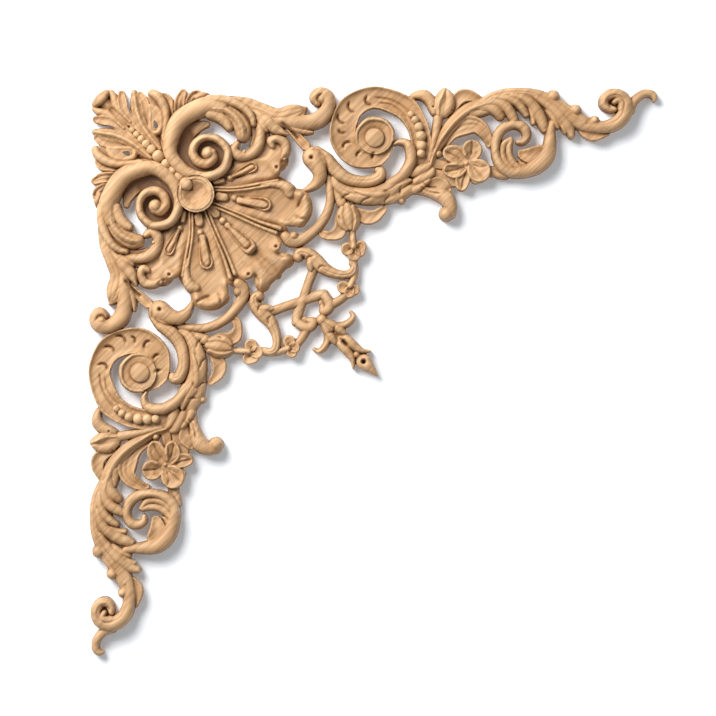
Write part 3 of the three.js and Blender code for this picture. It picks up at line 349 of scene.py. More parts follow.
# %% Shell ground
def shell_ground():
    stroke("flat", [[26, 26, 6, 7], [60, 60, 7, 7.5], [100, 100, 9, 8]])
    stroke("flat", [[112, 96, 10, 8], [140, 86, 12, 8], [168, 78, 12, 8], [184, 70, 12, 8]])
    stroke("flat", [[118, 108, 10, 8], [150, 108, 15, 8], [185, 114, 18, 8], [200, 118, 16, 8]])
    stroke("flat", [[118, 118, 12, 8], [150, 140, 14, 8], [178, 152, 10, 8]])
    stroke("flat", [[140, 140, 14, 8], [168, 168, 18, 8], [178, 178, 12, 8]])
    stroke("flat", [[120, 99, 5, 8], [150, 97, 8, 8], [180, 93, 7, 8], [196, 102, 8, 8]])
    stroke("flat", [[120, 114, 5, 8], [150, 127, 8, 8], [180, 140, 7, 8], [190, 142, 6, 8]])
    stroke("gouge", [[122, 95.4, 2.6, 9], [140, 88, 8, 11], [160, 80.6, 10.6, 12], [178, 78.6, 11, 13]])
    stroke("flat", [[183, 57, 6, 10], [186, 64, 8, 11], [183, 70, 9, 12]])
    stroke("gouge", [
        [120, 106, 4, 9], [142, 109.6, 11, 11.5], [165, 112.6, 15, 12], [188, 116, 18, 12.5],
        [200, 118, 18, 13]])
    stroke("round", [
        [204, 104, 4.4, 13.5], [210.6, 105.6, 4.6, 14], [214.2, 113.6, 5.4, 14.5],
        [213.6, 123.6, 5.6, 14.5], [208.4, 131.4, 5.6, 14]])
    stroke("gouge", [[119, 117, 3, 9], [140, 128.6, 7, 11.5], [163, 143, 9, 12], [179, 153.6, 10, 12.5]])
    stroke("gouge", [[120, 120, 4, 9], [140, 140, 9, 11.5], [160, 160, 14, 12], [172, 172, 16, 12.5]])
    stroke("round", [[174, 168, 6.8, 12], [185, 171.4, 9, 13], [194.6, 171, 6.8, 12]])
    stroke("round", [[176, 176, 8, 12.5], [184, 184, 5.4, 12]])
    stroke("round", [[176.6, 189.4, 4.6, 11.5], [183, 183, 5, 12], [189.4, 176.6, 4.6, 11.5]])
    stroke("ridge", [[164, 164, 5, 11], [175, 175, 9, 13], [181, 181, 7.4, 12.5]])
    soften(2.2)
    swell(211, 126, 8, 2.2)
    swell(208, 107, 8, 2)
    swell(194, 168, 7, 2.4)
    swell(185.4, 80.4, 8.6, 3.2)
    swell(185, 157, 8.4, 3.2)
    swell(193.6, 135.4, 8, 2.6)


shell_ground()
told("shell ground")

# %% [markdown]
# Between the leaves the board is carved down to thin webs, which tie the leaves together. They
# are flat bands that the leaves later stand on. One flat sheet under everything would be quicker,
# but it would close the openings that are sawn through, so each web lies only where one is seen.

# %% Webs
def webs():
    stroke("flat", [[62, 48, 6, 7], [74, 60, 6, 8], [90, 88, 8, 8]])
    web([[30, 20, 4], [38, 32, 5], [47, 30, 5], [56, 36, 8], [66, 50, 8]])
    web([[27, 12, 3.4], [31, 22, 4]])
    web([[46, 12, 4], [50, 24, 6], [54, 36, 6]])
    web([[57, 14, 3], [66, 12, 8], [76, 22, 6.5], [80, 34, 5]])
    web([[87, 20, 4], [98, 14.6, 4.6], [112, 9, 3]])
    web([
        [115.6, 35, 2.6], [108.6, 36.4, 4.6], [100, 41, 6.8], [94, 49, 7.6], [92, 58, 7.5],
        [95, 69, 7], [103, 78, 5], [114, 81, 4], [126, 78, 4]])
    web([[108, 56, 5], [114, 62, 12], [124, 66, 12]])


webs()
told("webs")

# %% [markdown]
# Over the outer corner the leaf fans out in lobes, and a hooded lobe bends round a small eye that
# is pierced right through. Most lobes are scooped along their length, which the gouge section
# gives in one stroke. Sculpting each lobe would take longer and would be hard to change later.

# %% Corner leaves
def corner_leaves():
    stroke("round", [[3.8, 14.8, 3.2, 11.5], [9.6, 9.6, 4.9, 13.5], [14.8, 3.8, 3.2, 11.5]])
    stroke("round", [
        [19.6, 3.2, 2.6, 9], [22.4, 8.2, 3.6, 10], [25, 16.6, 4.6, 11], [30, 24.6, 4, 11.5],
        [38, 32.6, 3, 12]])
    stroke("gouge", [
        [30, 4.4, 2.8, 10], [31, 12.6, 4.4, 12], [34, 22, 4.6, 12.5], [40.4, 31.6, 4.8, 13],
        [52, 43.2, 3.8, 13.5], [64, 54.6, 3, 13.5]])
    stroke("ridge", [[14, 14, 6, 9], [24, 24, 4, 10.5], [36, 36, 2.4, 11]])
    slit([[38.2, 3, 0.9], [36.4, 14, 0.7], [38, 21, 0.8], [41.2, 27.4, 0.4]])
    stroke("ridge", [
        [42.6, 3, 2.4, 11.5], [44.2, 12, 4.8, 13.5], [46, 23, 5.6, 14.5], [51, 35.6, 5.4, 15],
        [59, 47.6, 4.6, 15.5], [69, 59.6, 3.2, 15.5]], "big leaf")
    stroke("gouge", [
        [48.4, 5.4, 2.8, 10.5], [52.8, 12, 4, 12], [55, 22, 4, 12], [57, 34, 3.6, 12],
        [62, 46, 3, 12.5]])
    stroke("round", [
        [58.8, 17, 2.4, 12], [59.2, 25, 2.6, 12.5], [59, 33, 2.6, 12.5], [59.8, 40, 2.8, 12.5],
        [64, 43.6, 2.8, 13], [68.8, 40.6, 2.8, 13], [70, 32, 3, 13.5], [67.8, 23, 4, 13],
        [61.6, 17.6, 3.4, 12.5]])
    stroke("flat", [[61.4, 19.6, 3.6, 12], [63.6, 27, 4, 12], [64.4, 37, 4, 12]])
    stroke("round", [
        [60.4, 4.1, 3.8, 13], [66.4, 7.5, 4.6, 14.5], [72.4, 16.6, 4.4, 15], [75, 28, 3.6, 15],
        [74, 40, 3, 14.5], [72, 52, 2.4, 14.5], [73, 60, 2, 14.5]])
    stroke("gouge", [
        [66, 7.6, 4.2, 12], [75.4, 10.6, 5, 13], [78.2, 20, 3.4, 13], [79.6, 31, 3.4, 13]], "hood back")
    slit([[63.2, 31.4, 0.3], [64, 34.6, 2], [64.6, 37, 2.5]])
    stroke("gouge", [[87.6, 20.6, 5, 12], [88.6, 11, 4.8, 12.5], [91.6, 3, 3, 10.5]], "lobe two")
    stroke("gouge", [[98, 13.1, 4.4, 11.5], [102.6, 7.1, 4.8, 11.5], [106.4, 4, 2.8, 9]], "lobe three")
    stroke("round", [[106, 8.2, 4, 10.5], [112, 6.2, 3.2, 10], [116, 6.2, 2, 8]])
    slit([[82.6, 3, 1], [82.4, 8, 0.5]])


corner_leaves()
told("corner leaves")

# %% [markdown]
# A long acanthus leaf rolls over the centre volute and ends in a curled lip. Its back is one
# rounded stroke, and the folds are shorter strokes that stand a little higher, so they lap over
# it as carved folds do. Folds made as separate meshes would have to be joined and smoothed.

# %% Acanthus
def acanthus():
    stroke("round", [
        [140, 14.4, 7.6, 13], [155, 17.4, 8.8, 13.5], [170, 22.6, 8.4, 14], [186, 29, 9.8, 14],
        [201, 25.6, 10.2, 14], [210, 21.5, 4.4, 12], [213.8, 18.8, 1.6, 9]], "acanthus back")
    stroke("round", [
        [165.6, 24, 3, 15], [175, 32, 6.2, 16.5], [184, 39.6, 5.4, 16.5], [192, 44, 2.2, 15.5],
        [195.6, 45.4, 0.6, 14.5]])
    stroke("round", [[168.4, 29, 4.2, 15.6], [172, 36.6, 4.4, 16], [174.6, 41, 2.2, 15]])
    stroke("round", [
        [178, 31, 3, 14], [192, 32, 6, 15], [206, 33.5, 7.2, 15.5], [219, 33, 7.6, 16],
        [229, 29, 8, 17], [236, 19.4, 7, 17], [235.4, 8.8, 7, 17], [229.2, 4.6, 6.2, 16.5],
        [223.8, 8, 6, 16], [226, 12.4, 4.8, 15]])
    dome(230.4, 10.5, 5, 17)
    stroke("round", [
        [196, 37, 2.4, 13.5], [205, 40.6, 3.2, 13.5], [214, 42.6, 2.8, 13], [220.6, 43.2, 1.2, 12]])
    stroke("gouge", [
        [194, 36, 2, 12], [201, 42.6, 3.2, 12.5], [207.6, 49.6, 4, 12.5], [213.6, 56.4, 4.4, 12.5]])


acanthus()
told("acanthus")

# %% [markdown]
# The volute is the highest carving. Its band winds in nearly two turns to a button, and three
# finger leaves spring off its back. A curve that is drawn by hand gets flat spots as it winds, so
# this one goes by angle and distance round its centre, which keeps each turn round.

# %% Centre volute
def centre_volute():
    spiral("round", [115, 63], [
        [-70, 46, 7, 19], [-90, 46, 9, 20], [-128, 41.5, 8.8, 21], [-160, 37.2, 7.4, 21.5],
        [-185, 35, 6.6, 21.5], [-225, 28.2, 6, 21], [-270, 24.8, 5, 20], [-315, 24, 4.4, 19.5],
        [-360, 21.6, 4, 19.5], [-405, 17, 3.8, 19.5], [-450, 14.6, 3.4, 19.5],
        [-495, 13.8, 3.8, 19.5], [-540, 13.4, 4.4, 19], [-585, 12.6, 4.8, 19], [-630, 11.6, 4.6, 19],
        [-675, 9, 4.6, 19], [-715, 6, 4, 19]])
    dome(117, 64.4, 6.8, 21.5)
    stroke("round", [
        [118, 11.6, 5.4, 18], [131, 11.2, 5, 18], [144, 15, 4.2, 18], [154.5, 21, 4, 17.5],
        [160.6, 28.6, 3.4, 17], [162.2, 35, 2.8, 16]])
    stroke("ridge", [
        [122, 20, 6, 19.5], [134, 21.5, 6.6, 19.5], [144.6, 29, 7.2, 19.5], [150.6, 39, 8, 19],
        [151.6, 46.5, 6.4, 18]], "finger two")
    stroke("round", [
        [118, 24.6, 5.2, 18], [128, 28, 5.8, 18], [134.6, 33.2, 5.4, 17.5], [137.6, 38, 4.2, 17]])


centre_volute()
told("centre volute")

# %% [markdown]
# A hooked leaf turns back between the volute and the shell and closes the gap under the fingers.
# It is one rounded stroke that bends through about half a turn, over thin webs. A bevelled curve
# could fold over itself on the inner side of so tight a bend, while heights can't.

# %% Hooked leaf
def hook_leaf():
    stroke("flat", [[144, 22, 7, 12], [153, 27, 5, 12], [158, 34, 4, 10.5]])
    web([[164, 34, 5], [164.4, 46, 4], [162, 56, 3.6]])
    web([[173, 46, 4.4], [173.4, 58, 6.4], [160, 71, 5], [146, 74, 4.6]])
    stroke("round", [
        [145.4, 54.8, 2.9, 15], [142.2, 60.6, 4.6, 16], [146.6, 66, 5.2, 16], [154, 66.8, 4.6, 15],
        [161.6, 63, 5.4, 15], [167, 55.6, 5.2, 15.5], [169, 46, 4.6, 15], [168.6, 36, 4.6, 14]])
    dome(153, 62.6, 2, 15)


hook_leaf()
told("hooked leaf")

# %% [markdown]
# Ribs part the flutes in pairs of fine beads, a loop with a bead at its neck lies on each flute,
# and the fan springs from a dished hub. An array round the hub would make the ribs alike, but in
# the carving each has its own bend, so they are drawn one by one as narrow round strokes.

# %% Shell ribs and hub
def shell_ribs():
    stroke("round", [[170, 95, 2, 13], [188, 95.6, 4.4, 15], [196, 99, 5.6, 16], [198, 104, 5, 15]])
    stroke("round", [
        [180.6, 56.6, 3, 14], [179.4, 51.8, 4.2, 15], [185.6, 49.6, 4, 15], [193, 53.8, 4.6, 15],
        [194.2, 61.6, 4.4, 15], [191.6, 68.6, 3.2, 14.5]])
    stroke("round", [
        [121, 98, 1.2, 12], [145, 98.2, 1.3, 13], [168, 94.4, 1.5, 13.5], [186, 91.4, 1.6, 14]])
    stroke("round", [
        [121, 101, 1.2, 12], [145, 101.2, 1.3, 13], [168, 98, 1.5, 13.5], [186, 94.6, 2, 14]])
    stroke("round", [
        [121, 113, 1.2, 12], [145, 122.6, 1.4, 13], [168, 132.4, 1.6, 13.5], [188, 138.8, 2.4, 14]])
    stroke("round", [
        [120, 116, 1.2, 12], [143, 126, 1.4, 13], [166, 136.4, 1.6, 13.5], [184, 143.4, 2.2, 14]])
    stroke("flat", [[141.6, 86.4, 1.6, 12.6], [152, 81.4, 3.8, 13], [160.4, 77.6, 5, 13.2]])
    stroke("flat", [[148, 111, 3.2, 13.2], [162, 113, 4.8, 13.6], [173, 115, 6.4, 13.8]])
    stroke("flat", [[136, 136, 3, 13.2], [147, 147, 5.2, 13.6], [157, 157, 7, 13.8]])
    stroke("flat", [[123, 92.6, 2.2, 12.6], [131, 91.4, 2.2, 12.6]])
    stroke("flat", [[127, 107, 3.8, 12.6], [133, 108, 3.8, 12.6]])
    stroke("flat", [[120, 120, 3.8, 12.6], [124.6, 124.6, 3.8, 12.6]])
    dome(138.4, 88.6, 3, 14)
    dome(143, 108.8, 3.4, 14.2)
    dome(131.4, 131.4, 4, 14.6)
    dish(104.8, 104.8, 18.4, 20, 19, 13)


shell_ribs()
told("shell ribs and hub")

# %% [markdown]
# Beside the shell hangs a scroll with a deep eye, and its stem runs under the side scroll and
# throws off a leafy crescent and an arching arm. Each is one stroke from root to tip, as the
# gouge follows it. In short pieces they would be easier to fit, but their joints would show.

# %% Drop scroll
def drop_scroll():
    stroke("round", [
        [221.2, 67.8, 10.2, 16.5], [226.8, 78, 7.8, 16.5], [228.2, 87, 6.4, 15.5],
        [223.6, 94.6, 4.8, 14], [216.4, 99.2, 2.8, 12.5], [211.4, 101, 1, 10.5]])
    stroke("round", [
        [225, 62.4, 5, 14], [234.6, 69.6, 6, 15], [243, 80, 6.4, 15], [254, 88.6, 6.1, 15],
        [267, 92.2, 5.7, 15], [279, 91.6, 5.7, 15], [287.4, 87.6, 5.8, 15], [288.4, 82.6, 5, 15],
        [285.6, 80.8, 3, 14]], "long stem")
    stroke("round", [
        [241, 89, 2.4, 11], [246.6, 97.4, 5, 13], [257, 103.4, 6.8, 14], [270, 106.4, 8.4, 14.5],
        [283, 106, 9, 14.5], [296, 101, 8.6, 14.5], [306, 94.8, 6.6, 14], [314, 91.6, 3.8, 13],
        [318.6, 90.8, 1.4, 12]], "crescent")
    stroke("round", [
        [280, 109.4, 5.4, 12.5], [292, 109.6, 5, 12.5], [302, 107.4, 5.8, 12], [311, 103.4, 6, 12],
        [318, 99.6, 5, 11.5]])
    stroke("round", [
        [266, 103, 3, 15], [279, 105, 4.4, 15.6], [289, 105, 4.4, 15.6], [296.4, 104, 2.4, 14.5]])
    stroke("round", [
        [302.6, 54.6, 1.4, 13], [307.6, 52.6, 2.8, 14], [314.8, 54.4, 4, 15], [318.8, 62, 5.1, 15.5],
        [318.6, 72, 5.3, 15.5], [314.6, 81, 5.5, 15.5], [308, 88.4, 5, 15], [298, 95.4, 6, 14]])
    dome(309.6, 111, 3.4, 11)
    stroke("round", [
        [236.7, 88, 3, 10], [238.1, 100, 3.6, 11], [238.3, 112, 4, 11], [234.9, 124, 4.2, 11],
        [228.1, 135, 4.4, 11], [218.7, 144, 4.8, 11], [208.3, 150.8, 5.4, 11.5],
        [198.7, 151.2, 6, 12], [193.3, 146.4, 4.6, 12.5]])
    dome(202, 146.4, 4.4, 13)


drop_scroll()
told("drop scroll")

# %% [markdown]
# The side scroll is a wide band with raised rims that winds in to a dished button. It is drawn by
# angle and distance round the button, and the channel section raises both rims at once. Rims
# made as two strokes of their own would drift apart where the band narrows.

# %% Side scroll
def side_scroll():
    spiral("channel", [283, 47], [
        [16, 18.4, 1.6, 14.5], [44, 19.2, 2.6, 14.8], [68, 21.2, 4.8, 15], [92, 22.6, 7.6, 15],
        [135, 28.2, 9.6, 15.5], [178, 32.2, 12.2, 16], [222, 36, 12.2, 16], [252, 38, 10.6, 16],
        [278, 38.4, 10.4, 16], [315, 40.8, 11, 16], [340, 43, 10, 15.5], [360, 45.4, 9.6, 15],
        [377, 49, 9, 14.5], [392, 55, 6.6, 13]])
    dish(283, 47.4, 17.8, 13.4, 13.2, 10.4)
    spiral("round", [283, 47.4], [
        [14, 18.2, 1.2, 14.5], [-20, 18, 1.8, 15.5], [-60, 17.6, 2.2, 16], [-110, 17.6, 2.4, 16],
        [-160, 18.2, 2, 15.2], [-200, 18.6, 1.6, 13.8], [-230, 19.2, 1.1, 12], [-246, 19.8, 0.7, 10]])
    disc(282.6, 49, 9.4, 15.5)


side_scroll()
told("side scroll")

# %% [markdown]
# A tulip stands at the edge, and from the same root a long leaf arches away to the top band. Its
# petals are broad strokes side by side, and the highest is seen in front. Petals made as curved
# sheets would be hollow behind, while the carved ones are solid down to the board.

# %% Tulip and arching leaf
def tulip():
    stroke("round", [
        [319.4, 12.6, 1.9, 9.5], [320.6, 7.6, 2.9, 10.5], [326, 6, 4.1, 11.5],
        [332.6, 6.4, 5.5, 12.5], [338, 11.6, 5.3, 12.5], [341, 19, 4.5, 12.5], [342, 23, 3.3, 12]])
    stroke("round", [[349, 24.6, 5.1, 12.5], [350, 18, 8.7, 12.5], [350.6, 10, 6.7, 12]])
    stroke("ridge", [
        [346.6, 25, 3.7, 13.5], [346.4, 16, 6.1, 14.5], [349.4, 8, 5.1, 14.5],
        [352.2, 1.4, 2.7, 13.5]])
    stroke("round", [
        [352.6, 24.6, 3.9, 12.5], [357, 18, 5.1, 13.5], [357.6, 9.6, 4.7, 13.5],
        [355.2, 3.4, 2.9, 12.5]])
    stroke("gouge", [
        [360, 21.2, 3.5, 10], [363.4, 13.2, 5.3, 12], [369, 7.4, 6.3, 12.5], [376.4, 6.4, 5.5, 12.5],
        [383, 8.8, 4.1, 12], [388, 10.8, 2.9, 11]])
    stroke("round", [
        [346, 29, 4.5, 12], [343.4, 44, 3.9, 12.5], [340.2, 58, 3.3, 12.5], [337.6, 70, 3.3, 12]])
    stroke("ridge", [
        [338, 77, 2.9, 12], [341.6, 65, 4.1, 13.5], [347.6, 53, 5.1, 14], [355.4, 41, 5.9, 14.5],
        [365, 30, 6.7, 14.5], [377, 21, 7.3, 14.5], [390, 16, 6.7, 14.5],
        [400, 13.6, 5.3, 14.5]], "arch leaf")
    stroke("round", [[378.6, 22.8, 5.6, 13], [387.6, 23.2, 4.4, 12.5], [394.6, 22.4, 3.2, 11.5]])
    stroke("gouge", [
        [346.6, 63, 3.3, 9.5], [352, 54, 4.5, 10.5], [360.6, 43.6, 5.8, 12], [371, 36.6, 9.2, 13],
        [383, 35.8, 7.5, 13.5], [391, 41.6, 6.1, 13.5], [395.6, 50, 3.7, 12.5],
        [396.4, 56, 1.7, 11.5]], "inner leaf")
    dome(346.4, 64.4, 3.6, 13)


tulip()
told("tulip and arching leaf")

# %% [markdown]
# Five petals lie round a small heart, above a bract with a knob at its tip. Each petal is a short
# scooped stroke, low at the heart and high at its rim. Five turned copies of one petal would look
# stamped, because carved petals differ a little, so each is drawn for itself.

# %% Flower and bract
def flower():
    stroke("gouge", [[380, 67, 5.2, 11], [379.8, 60.8, 9.6, 14.5]], "petal one")
    stroke("gouge", [[380, 75, 4, 11], [386.6, 81.6, 11.2, 14.5]], "petal two")
    stroke("gouge", [[373, 82, 4, 11], [370.4, 90, 6.8, 13.5], [369.6, 95.6, 5.6, 13.5]], "petal three")
    stroke("gouge", [[372, 77, 4, 10.5], [363.6, 80.6, 8, 13.5], [357.8, 80.8, 6.4, 14]], "petal four")
    stroke("gouge", [[373, 70, 4.8, 10.5], [364, 65.6, 8.8, 13.5], [358.6, 64.2, 7.6, 14]], "petal five")
    dome(374.4, 73.8, 2.4, 12)
    web([[374, 75, 13]])
    stroke("gouge", [[384, 86, 5, 12.5], [383.4, 89.6, 4.4, 13]])
    web([[342, 74, 5], [353, 76, 4]])
    web([[343, 84, 4], [352, 87, 5]])
    web([[350, 92, 6], [362, 92, 5]])
    stroke("round", [[355.6, 75.6, 1, 14], [362, 75, 2, 14.5], [370, 76, 1.4, 12]])
    web([[392, 82, 5], [404, 82, 5]])
    stroke("round", [
        [320.4, 84.6, 3.7, 11.5], [327, 81.4, 5.1, 13.5], [333.6, 78.6, 4.3, 13.5],
        [337, 76, 2.3, 12.5]])
    stroke("round", [
        [324, 92, 4.1, 12], [331, 88.6, 4.7, 13.5], [338, 84.4, 4.5, 13.5], [340.6, 80.6, 2.7, 12.5]])
    stroke("round", [[322.4, 100, 4.3, 12], [330, 96.6, 3.1, 13], [336.6, 90.6, 2.9, 12.5]])
    web([[322, 98, 5.6], [334, 96, 9.4], [345, 95, 8.6]])
    stroke("gouge", [
        [336, 97.6, 5.7, 11], [346, 96, 8.3, 12.5], [352, 98.6, 6.3, 12.5], [356.6, 100, 2.3, 11]])
    stroke("round", [
        [334, 101.6, 4.3, 12], [345.6, 104.6, 6.3, 13.5], [354.6, 109.4, 7.3, 14.5],
        [358.4, 117, 6.1, 14.5], [358.6, 124, 5.1, 13.5]])
    dome(354.2, 124.4, 7.1, 15.5)


flower()
told("flower and bract")

# %% [markdown]
# The round scroll closes on itself, with a leaf and a flap inside it. It is rather oval and its
# band swells and thins on the way, so it goes by plain marks. Angles and distances suit a true
# curl, but would make this one no easier to draw.

# %% Round scroll
def round_scroll():
    stroke("round", [
        [426, 53, 2.2, 12.5], [430.6, 52.4, 3.4, 13], [434.2, 47.6, 4, 13.5], [433.2, 41, 4.7, 14],
        [427.6, 36.4, 4.5, 14], [419.6, 35.6, 4.1, 14], [410.4, 39.6, 4.7, 14.5],
        [404.6, 48, 4.8, 15], [403, 59, 4, 15.5], [404.8, 69.4, 4.4, 15.5], [411, 78.6, 5.4, 15.5],
        [422, 83.4, 5, 15.5], [434, 81.4, 6.2, 15.5], [446, 76, 7.4, 15.5], [454.6, 66.6, 7.4, 15],
        [457.4, 55, 6.2, 14.5], [458, 44, 4.6, 13.5], [459.4, 35, 4, 13]])
    stroke("round", [
        [418, 50, 2.3, 13], [411.6, 55, 3.5, 13.5], [409.8, 63, 3.3, 13.5], [412.4, 71.6, 3.7, 14],
        [418.4, 78, 3.5, 14]])
    stroke("round", [
        [418.4, 51, 2.5, 13], [416.4, 59, 3.5, 13.5], [417.4, 67.4, 3.7, 14], [421.4, 74.6, 3.7, 14],
        [428, 80, 3.3, 14]])
    stroke("gouge", [[429.6, 64.8, 4, 10], [438, 66.4, 7.4, 12], [447, 63, 7, 13]])
    stroke("ridge", [[426.6, 71.6, 1, 12], [429.6, 75, 2.6, 13.5], [437, 78, 3, 14], [446, 76, 3, 14.5]])
    stroke("round", [[400.6, 82, 3.3, 9.5], [406, 85.4, 3.1, 10], [414, 87, 2.7, 9.5]])


round_scroll()
told("round scroll")

# %% [markdown]
# Finger leaves hang from the top band like the fringe of a fern, most with a side finger. A node
# tree could repeat one leaf along the band, but no two are alike in length, bend or width, and
# that is what makes the fringe look carved.

# %% Finger leaves
def finger_leaves():
    stroke("round", [
        [392, 11.4, 3.5, 13], [402, 7, 4.3, 13.5], [414, 4, 4.5, 14], [428, 3.4, 4.5, 14.5],
        [442, 5.4, 5.3, 14.5], [454, 11, 6.7, 14.5], [466, 20, 7.3, 14.5], [478, 28.4, 6.7, 14.5],
        [491, 34.6, 6.3, 14.5]], "top band")
    web([[400, 12, 4], [415, 12.6, 6], [430, 15, 7], [444, 20, 8], [456, 26, 7], [470, 33, 5]])
    stroke("round", [
        [388.6, 17.6, 4.9, 13.5], [397.6, 18.2, 5.3, 14], [404, 21.6, 5.5, 14],
        [408, 26.2, 4.7, 12.5]])
    stroke("round", [[396, 18.6, 2.7, 13], [402.4, 24.4, 2.5, 12]])
    stroke("round", [
        [393, 14.2, 4.8, 14], [405, 13.4, 5.4, 14.5], [413.6, 17.6, 5.6, 15], [419, 25, 5, 14.5],
        [421.8, 30.4, 4.4, 13.5]])
    stroke("round", [
        [404, 8.6, 4.1, 14.5], [415.6, 9.6, 4.5, 15], [425, 14, 4.5, 15], [431, 20.6, 3.9, 14.5],
        [433.8, 25.2, 3.1, 13]])
    stroke("round", [
        [420, 6.6, 3.7, 15], [431, 9.6, 4.7, 15.5], [440, 16, 5.5, 15.5], [446.6, 26, 5.9, 15],
        [450.8, 36, 4.9, 14], [452, 40, 3.7, 12.5]])
    stroke("round", [[438, 20, 2.7, 13.5], [440.6, 28, 2.9, 13], [441, 33.6, 2.3, 12]])
    stroke("round", [
        [444, 9, 3, 15], [457, 17, 5, 15.5], [468, 27, 6, 15.5], [476, 37.6, 5.4, 15],
        [479, 46, 3.4, 13.5]])
    stroke("round", [[456, 22, 3.4, 13.5], [462.4, 31.4, 3.2, 13.5], [465, 37.6, 2.4, 12.5]])
    stroke("round", [[466, 30, 3.4, 13.5], [470.8, 38, 2.8, 13.5], [472.4, 43, 1.8, 12.5]])


finger_leaves()
told("finger leaves")

# %% [markdown]
# The arm ends in a scroll with a thin tail, and a twig of berries runs up to it. The berries are
# balls sunk in the twig. A tapered curve could make the tail, but the half width at each of its
# marks does the same work here.

# %% End scroll
def end_scroll():
    stroke("round", [
        [478, 30, 5.6, 14], [489, 35.4, 6, 14.5], [502, 38, 6.2, 14.5], [514, 37.6, 6, 15],
        [525, 33, 6.6, 15.5], [532, 24, 7, 15.5], [533.4, 14.4, 6, 15.5], [528.4, 6.6, 5.2, 15.5],
        [519.8, 4.8, 5, 15.5], [512.8, 8.8, 4.8, 15.5], [511.6, 15, 4.8, 15], [516.2, 19.4, 4, 14.5],
        [521.6, 20.4, 2.6, 14]], "end scroll")
    stroke("round", [
        [521.6, 13, 2.6, 14.5], [525.6, 11, 3, 15.5], [529, 14, 4, 15.5], [528.4, 20, 3.6, 15]])
    disc(520, 12, 6.4, 8)
    stroke("gouge", [
        [486.6, 38.6, 1.6, 11], [492, 43.4, 3.4, 12.5], [500, 46.4, 4.8, 13],
        [508.4, 45.4, 3.4, 12.5], [515, 44, 1.8, 11]])
    stroke("round", [
        [537.6, 21, 4.4, 12], [540.6, 13.4, 4, 12], [545.8, 7.8, 3.9, 11.5], [552, 4.2, 3.7, 10.5],
        [558.6, 4.4, 3.5, 9.5], [562, 7.8, 2.7, 9], [561.6, 11, 1.2, 8]])
    stroke("round", [[539, 13, 2, 12], [541.4, 7.4, 1, 10.5], [544, 4.6, 0.5, 9.5]])
    stroke("round", [
        [455, 6.6, 2.4, 12], [467, 12.6, 2.4, 12.5], [479, 21, 2.6, 12.5], [492, 29, 2.4, 12.5],
        [502, 33.6, 2.4, 12]])
    dome(460.6, 7.6, 6.4, 15.5)
    dome(483, 21.4, 5.8, 15.5)
    dome(502, 31.6, 4.6, 15)


end_scroll()
told("end scroll")

# %% [markdown]
# A garland of a bell flower and two small flowers hangs between the arm and the pendant. Each
# small flower is three short scooped strokes round the stem. They are turned and tilted unlike
# one another, so drawing both is simpler than fitting copies of one.

# %% Garland
def garland():
    stroke("round", [[241.6, 91, 2, 9], [245.4, 103, 3.8, 10.5], [249.6, 113, 5, 12]])
    stroke("round", [
        [250.6, 119, 3, 12.5], [249, 127, 4.6, 13.5], [251, 135, 4.2, 13], [254.6, 139.6, 2, 12]])
    stroke("round", [
        [255.6, 117, 4, 13], [256.6, 126, 6, 14.5], [257.4, 133, 5, 14], [258.6, 138, 3, 13]])
    stroke("ridge", [
        [260.6, 118, 3.4, 13], [263.4, 126, 4.6, 14], [263.6, 134, 4.2, 14], [261.4, 140.4, 2, 12.5]])
    stroke("gouge", [
        [248, 128, 4.4, 9.5], [248.8, 136, 5.4, 10.5], [246.8, 142.8, 6, 11], [239.4, 146, 4, 10.5],
        [231.8, 144.8, 3.4, 10], [229, 141.2, 2.2, 9]])
    stroke("gouge", [
        [266, 122.2, 3.6, 9.5], [274, 127.6, 6.4, 11], [282.6, 126.8, 5.6, 11],
        [289.4, 121.6, 3.8, 10.5], [292.6, 118.8, 2.2, 9.5]])
    stroke("round", [[260.5, 139, 2.6, 9.5], [260.9, 148, 3, 11], [261.5, 157, 3, 13]])
    stroke("gouge", [[257.8, 160, 3, 10], [255.6, 159.4, 6, 11.5]])
    stroke("gouge", [[263, 162, 3, 10], [262.4, 165, 6, 11.5]])
    stroke("gouge", [[267, 158, 3, 10], [268.8, 156.4, 5, 11.5], [268, 161.6, 5, 11.5]])
    stroke("round", [
        [260.9, 170, 3, 9.5], [263.1, 178, 3, 9.5], [261.9, 187, 3.2, 10], [258.3, 196, 3, 12]])
    stroke("gouge", [[254.5, 198, 3, 10], [251.5, 197.4, 5.8, 11.5]])
    stroke("gouge", [[258, 200, 3, 10], [257.4, 202.4, 5.4, 11.5]])
    stroke("gouge", [[260, 199, 2, 10], [262.6, 200, 4.8, 11.5]])
    stroke("round", [[256, 204, 3.4, 9.5], [248, 210, 3.8, 9.5], [241.2, 214, 4, 10]])


garland()
told("garland")

# %% [markdown]
# A leaf scroll and two plain struts carry the pendant from the shell. The struts stay low and
# round. Cylinders could stand for them, but strokes run into the leaves at both ends without a
# seam, as wood of one board does.

